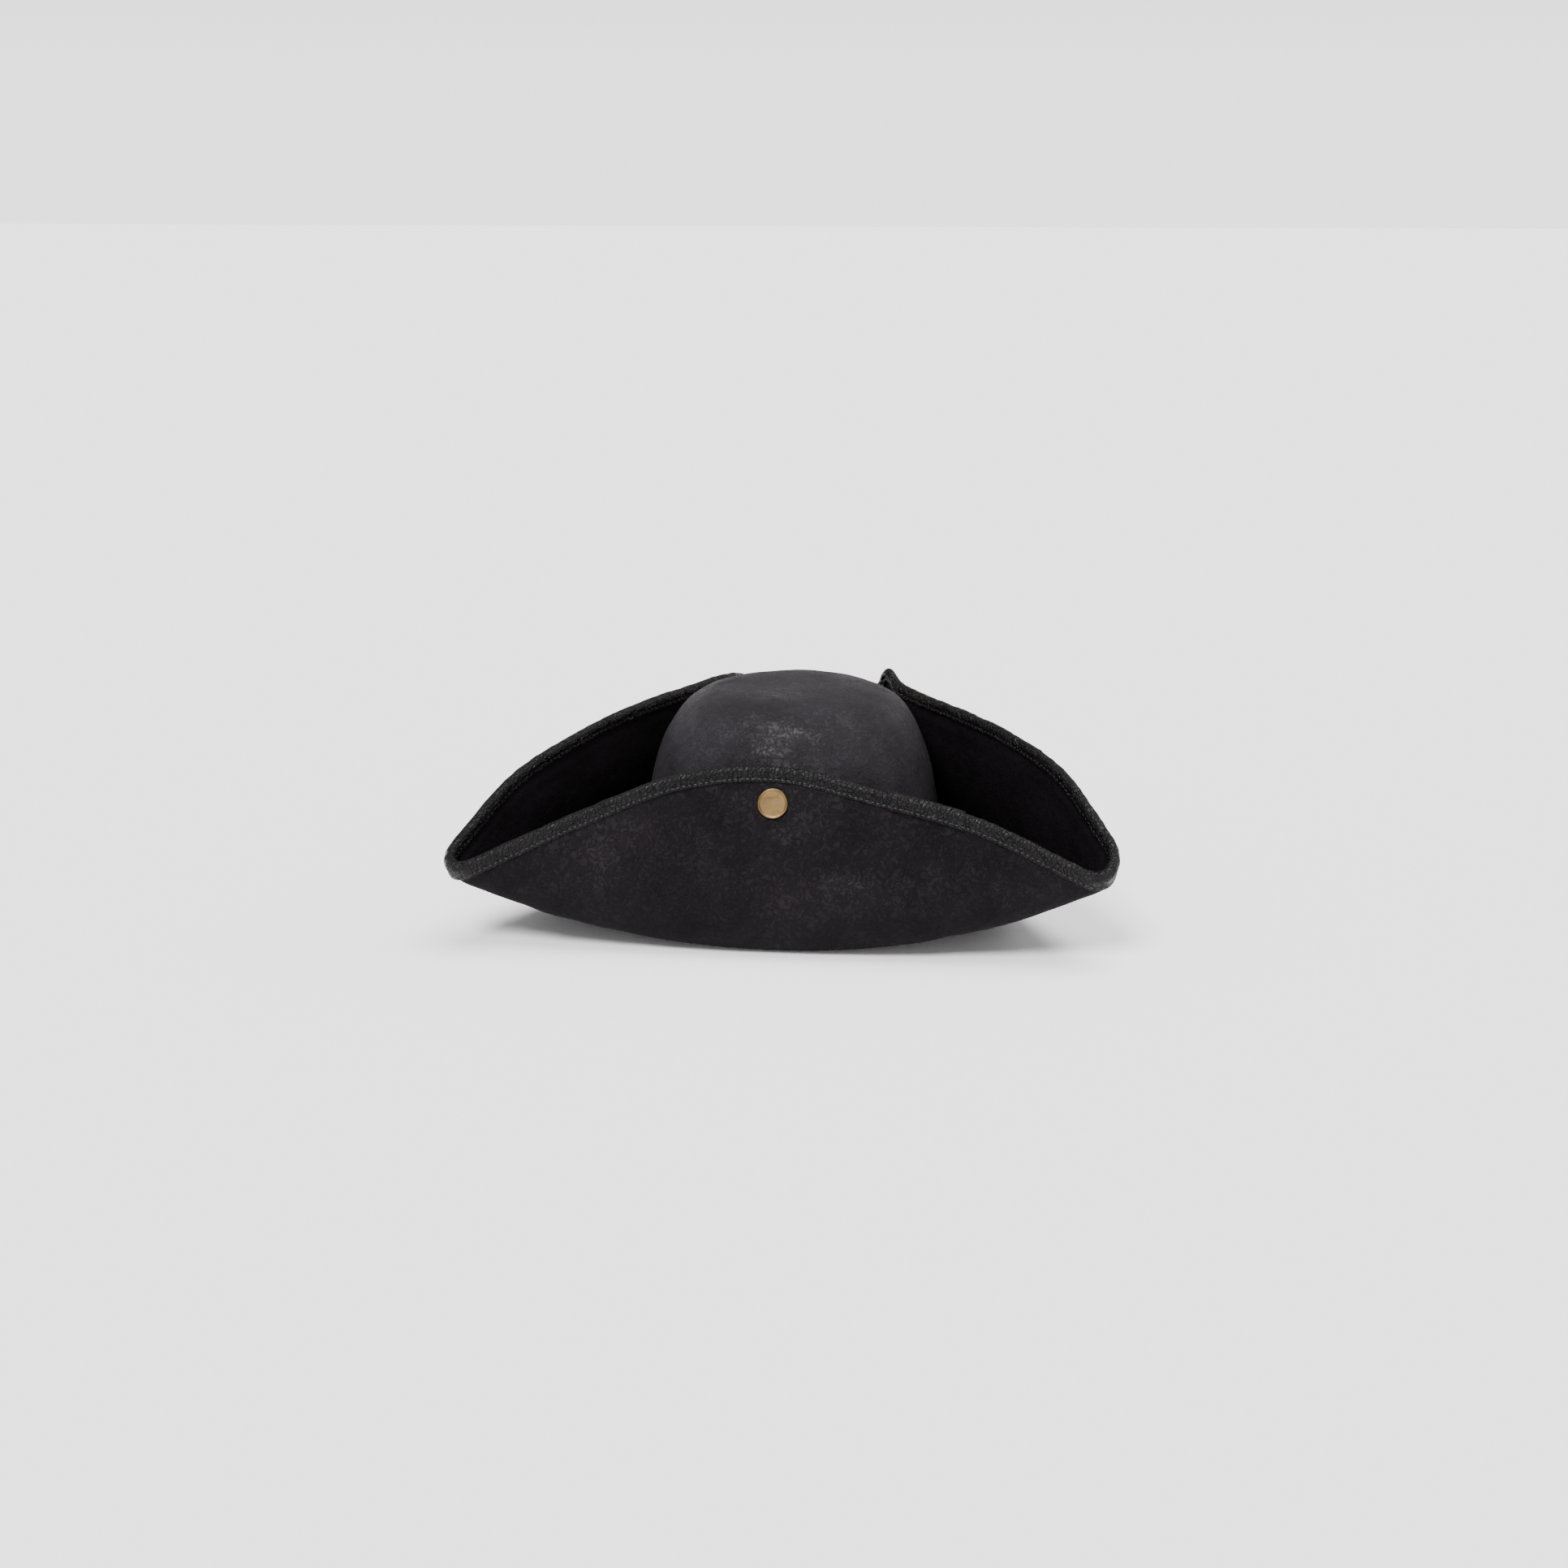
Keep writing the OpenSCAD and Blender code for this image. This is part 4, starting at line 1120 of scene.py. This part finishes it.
# How far the foot's seam lies inside the flat ring's edge, and the points along it
SEAM_IN, SEAM_STEPS = 0.6, 400


class MakeFootSeam(bpy.types.Operator):
    """Row of stitches that holds the brim to the crown's foot"""

    bl_idname = "hat.foot_seam"
    bl_label = "Make the foot seam"

    def execute(self, context):
        sizes = context.scene.hat_sizes
        turn = np.linspace(0, 2 * math.pi, SEAM_STEPS)
        rows = []
        half = FLAT_EDGE - SEAM_IN
        for level, way, share in ((BRIM_T, 1.0, 1.0), (0.1, -1.0, 0.6)):
            path = np.stack([half[0] * np.cos(turn), half[1] * np.sin(turn), 0 * turn + level], axis=-1)
            out = np.zeros_like(path)
            out[:, 2] = way
            radius = sizes.thread_radius / MM * share
            rows.append(stitch_points(path, out, sizes.stitch_pitch / MM, sizes.stitch_length / MM, radius))
        stitches = make_stitches("foot_stitches", rows, material("thread_twist"))
        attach(stitches, "crown")
        return {"FINISHED"}


# Shares of a cap's radius and height, from the middle of its face round to its back
CAP_PROFILE = (
    (0.0, 0.86), (0.3, 0.855), (0.6, 0.84), (0.76, 0.815), (0.82, 0.80), (0.845, 0.83), (0.865, 0.9),
    (0.885, 0.965), (0.91, 1.0), (0.935, 0.99), (0.96, 0.93), (0.98, 0.82), (0.995, 0.66), (1.0, 0.5),
    (0.995, 0.34), (0.975, 0.16), (0.945, 0.04), (0.9, 0.0), (0.86, 0.05), (0.84, 0.16), (0.6, 0.18),
    (0.0, 0.18),
)
CAP_STEPS, CAP_PIN_R = 112, 0.02


class MakeSnapCaps(bpy.types.Operator):
    """Brass snap caps with a rolled rim"""

    bl_idname = "hat.snap_caps"
    bl_label = "Make the snap caps"

    def execute(self, context):
        sizes = context.scene.hat_sizes
        r, h = sizes.cap_radius / MM, sizes.cap_height / MM
        turn = np.arange(CAP_STEPS) * 2 * math.pi / CAP_STEPS
        for side, (centre, facing) in zip(SIDES, SNAPS):
            across = unit(np.cross(facing, [0, 0, 1.0]))
            up = np.cross(across, facing)
            ring = across * np.cos(turn)[:, None] + up * np.sin(turn)[:, None]
            loops = np.stack([centre + ring * max(a * r, CAP_PIN_R) + facing * (CAP_BOTTOM + b * h)
                              for a, b in CAP_PROFILE], axis=0)
            piece = make_tube(f"{side.name}_snap_button", loops, material("snap_metal"), 35.0)
            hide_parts(f"{side.name}_snap_cap")
            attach(piece, side.body)
        return {"FINISHED"}


class HatPanel(bpy.types.Panel):
    """The hat's settings and the pieces to make"""

    bl_idname = "VIEW3D_PT_hat"
    bl_label = "Hat"
    bl_space_type = "VIEW_3D"
    bl_region_type = "UI"
    bl_category = "Hat"

    def draw(self, context):
        layout = self.layout
        for settings in (context.scene.hat_sizes, context.scene.hat_colours):
            box = layout.box()
            for key in settings.__annotations__:
                box.prop(settings, key)
        for maker in MAKERS:
            layout.operator(maker.bl_idname)


MAKERS = (MakeFinishes, MakeStage, MakeCrown, MakeLining, MakeSweatband, MakeBrim, MakeEdging,
          MakeFootSeam, MakeSnapCaps)
CLASSES = (HatSizes, HatColours, *MAKERS, HatPanel)


def register():
    for cls in CLASSES:
        bpy.utils.register_class(cls)
    bpy.types.Scene.hat_sizes = PointerProperty(type=HatSizes)
    bpy.types.Scene.hat_colours = PointerProperty(type=HatColours)


def unregister():
    del bpy.types.Scene.hat_colours
    del bpy.types.Scene.hat_sizes
    for cls in reversed(CLASSES):
        bpy.utils.unregister_class(cls)


def main():
    register()
    bpy.ops.hat.finishes()
    bpy.ops.hat.stage()
    bpy.ops.hat.crown()
    bpy.ops.hat.lining()
    bpy.ops.hat.sweatband()
    bpy.ops.hat.brim()
    bpy.ops.hat.edging()
    bpy.ops.hat.foot_seam()
    bpy.ops.hat.snap_caps()
    bpy.context.view_layer.update()


if __name__ == "__main__":
    main()
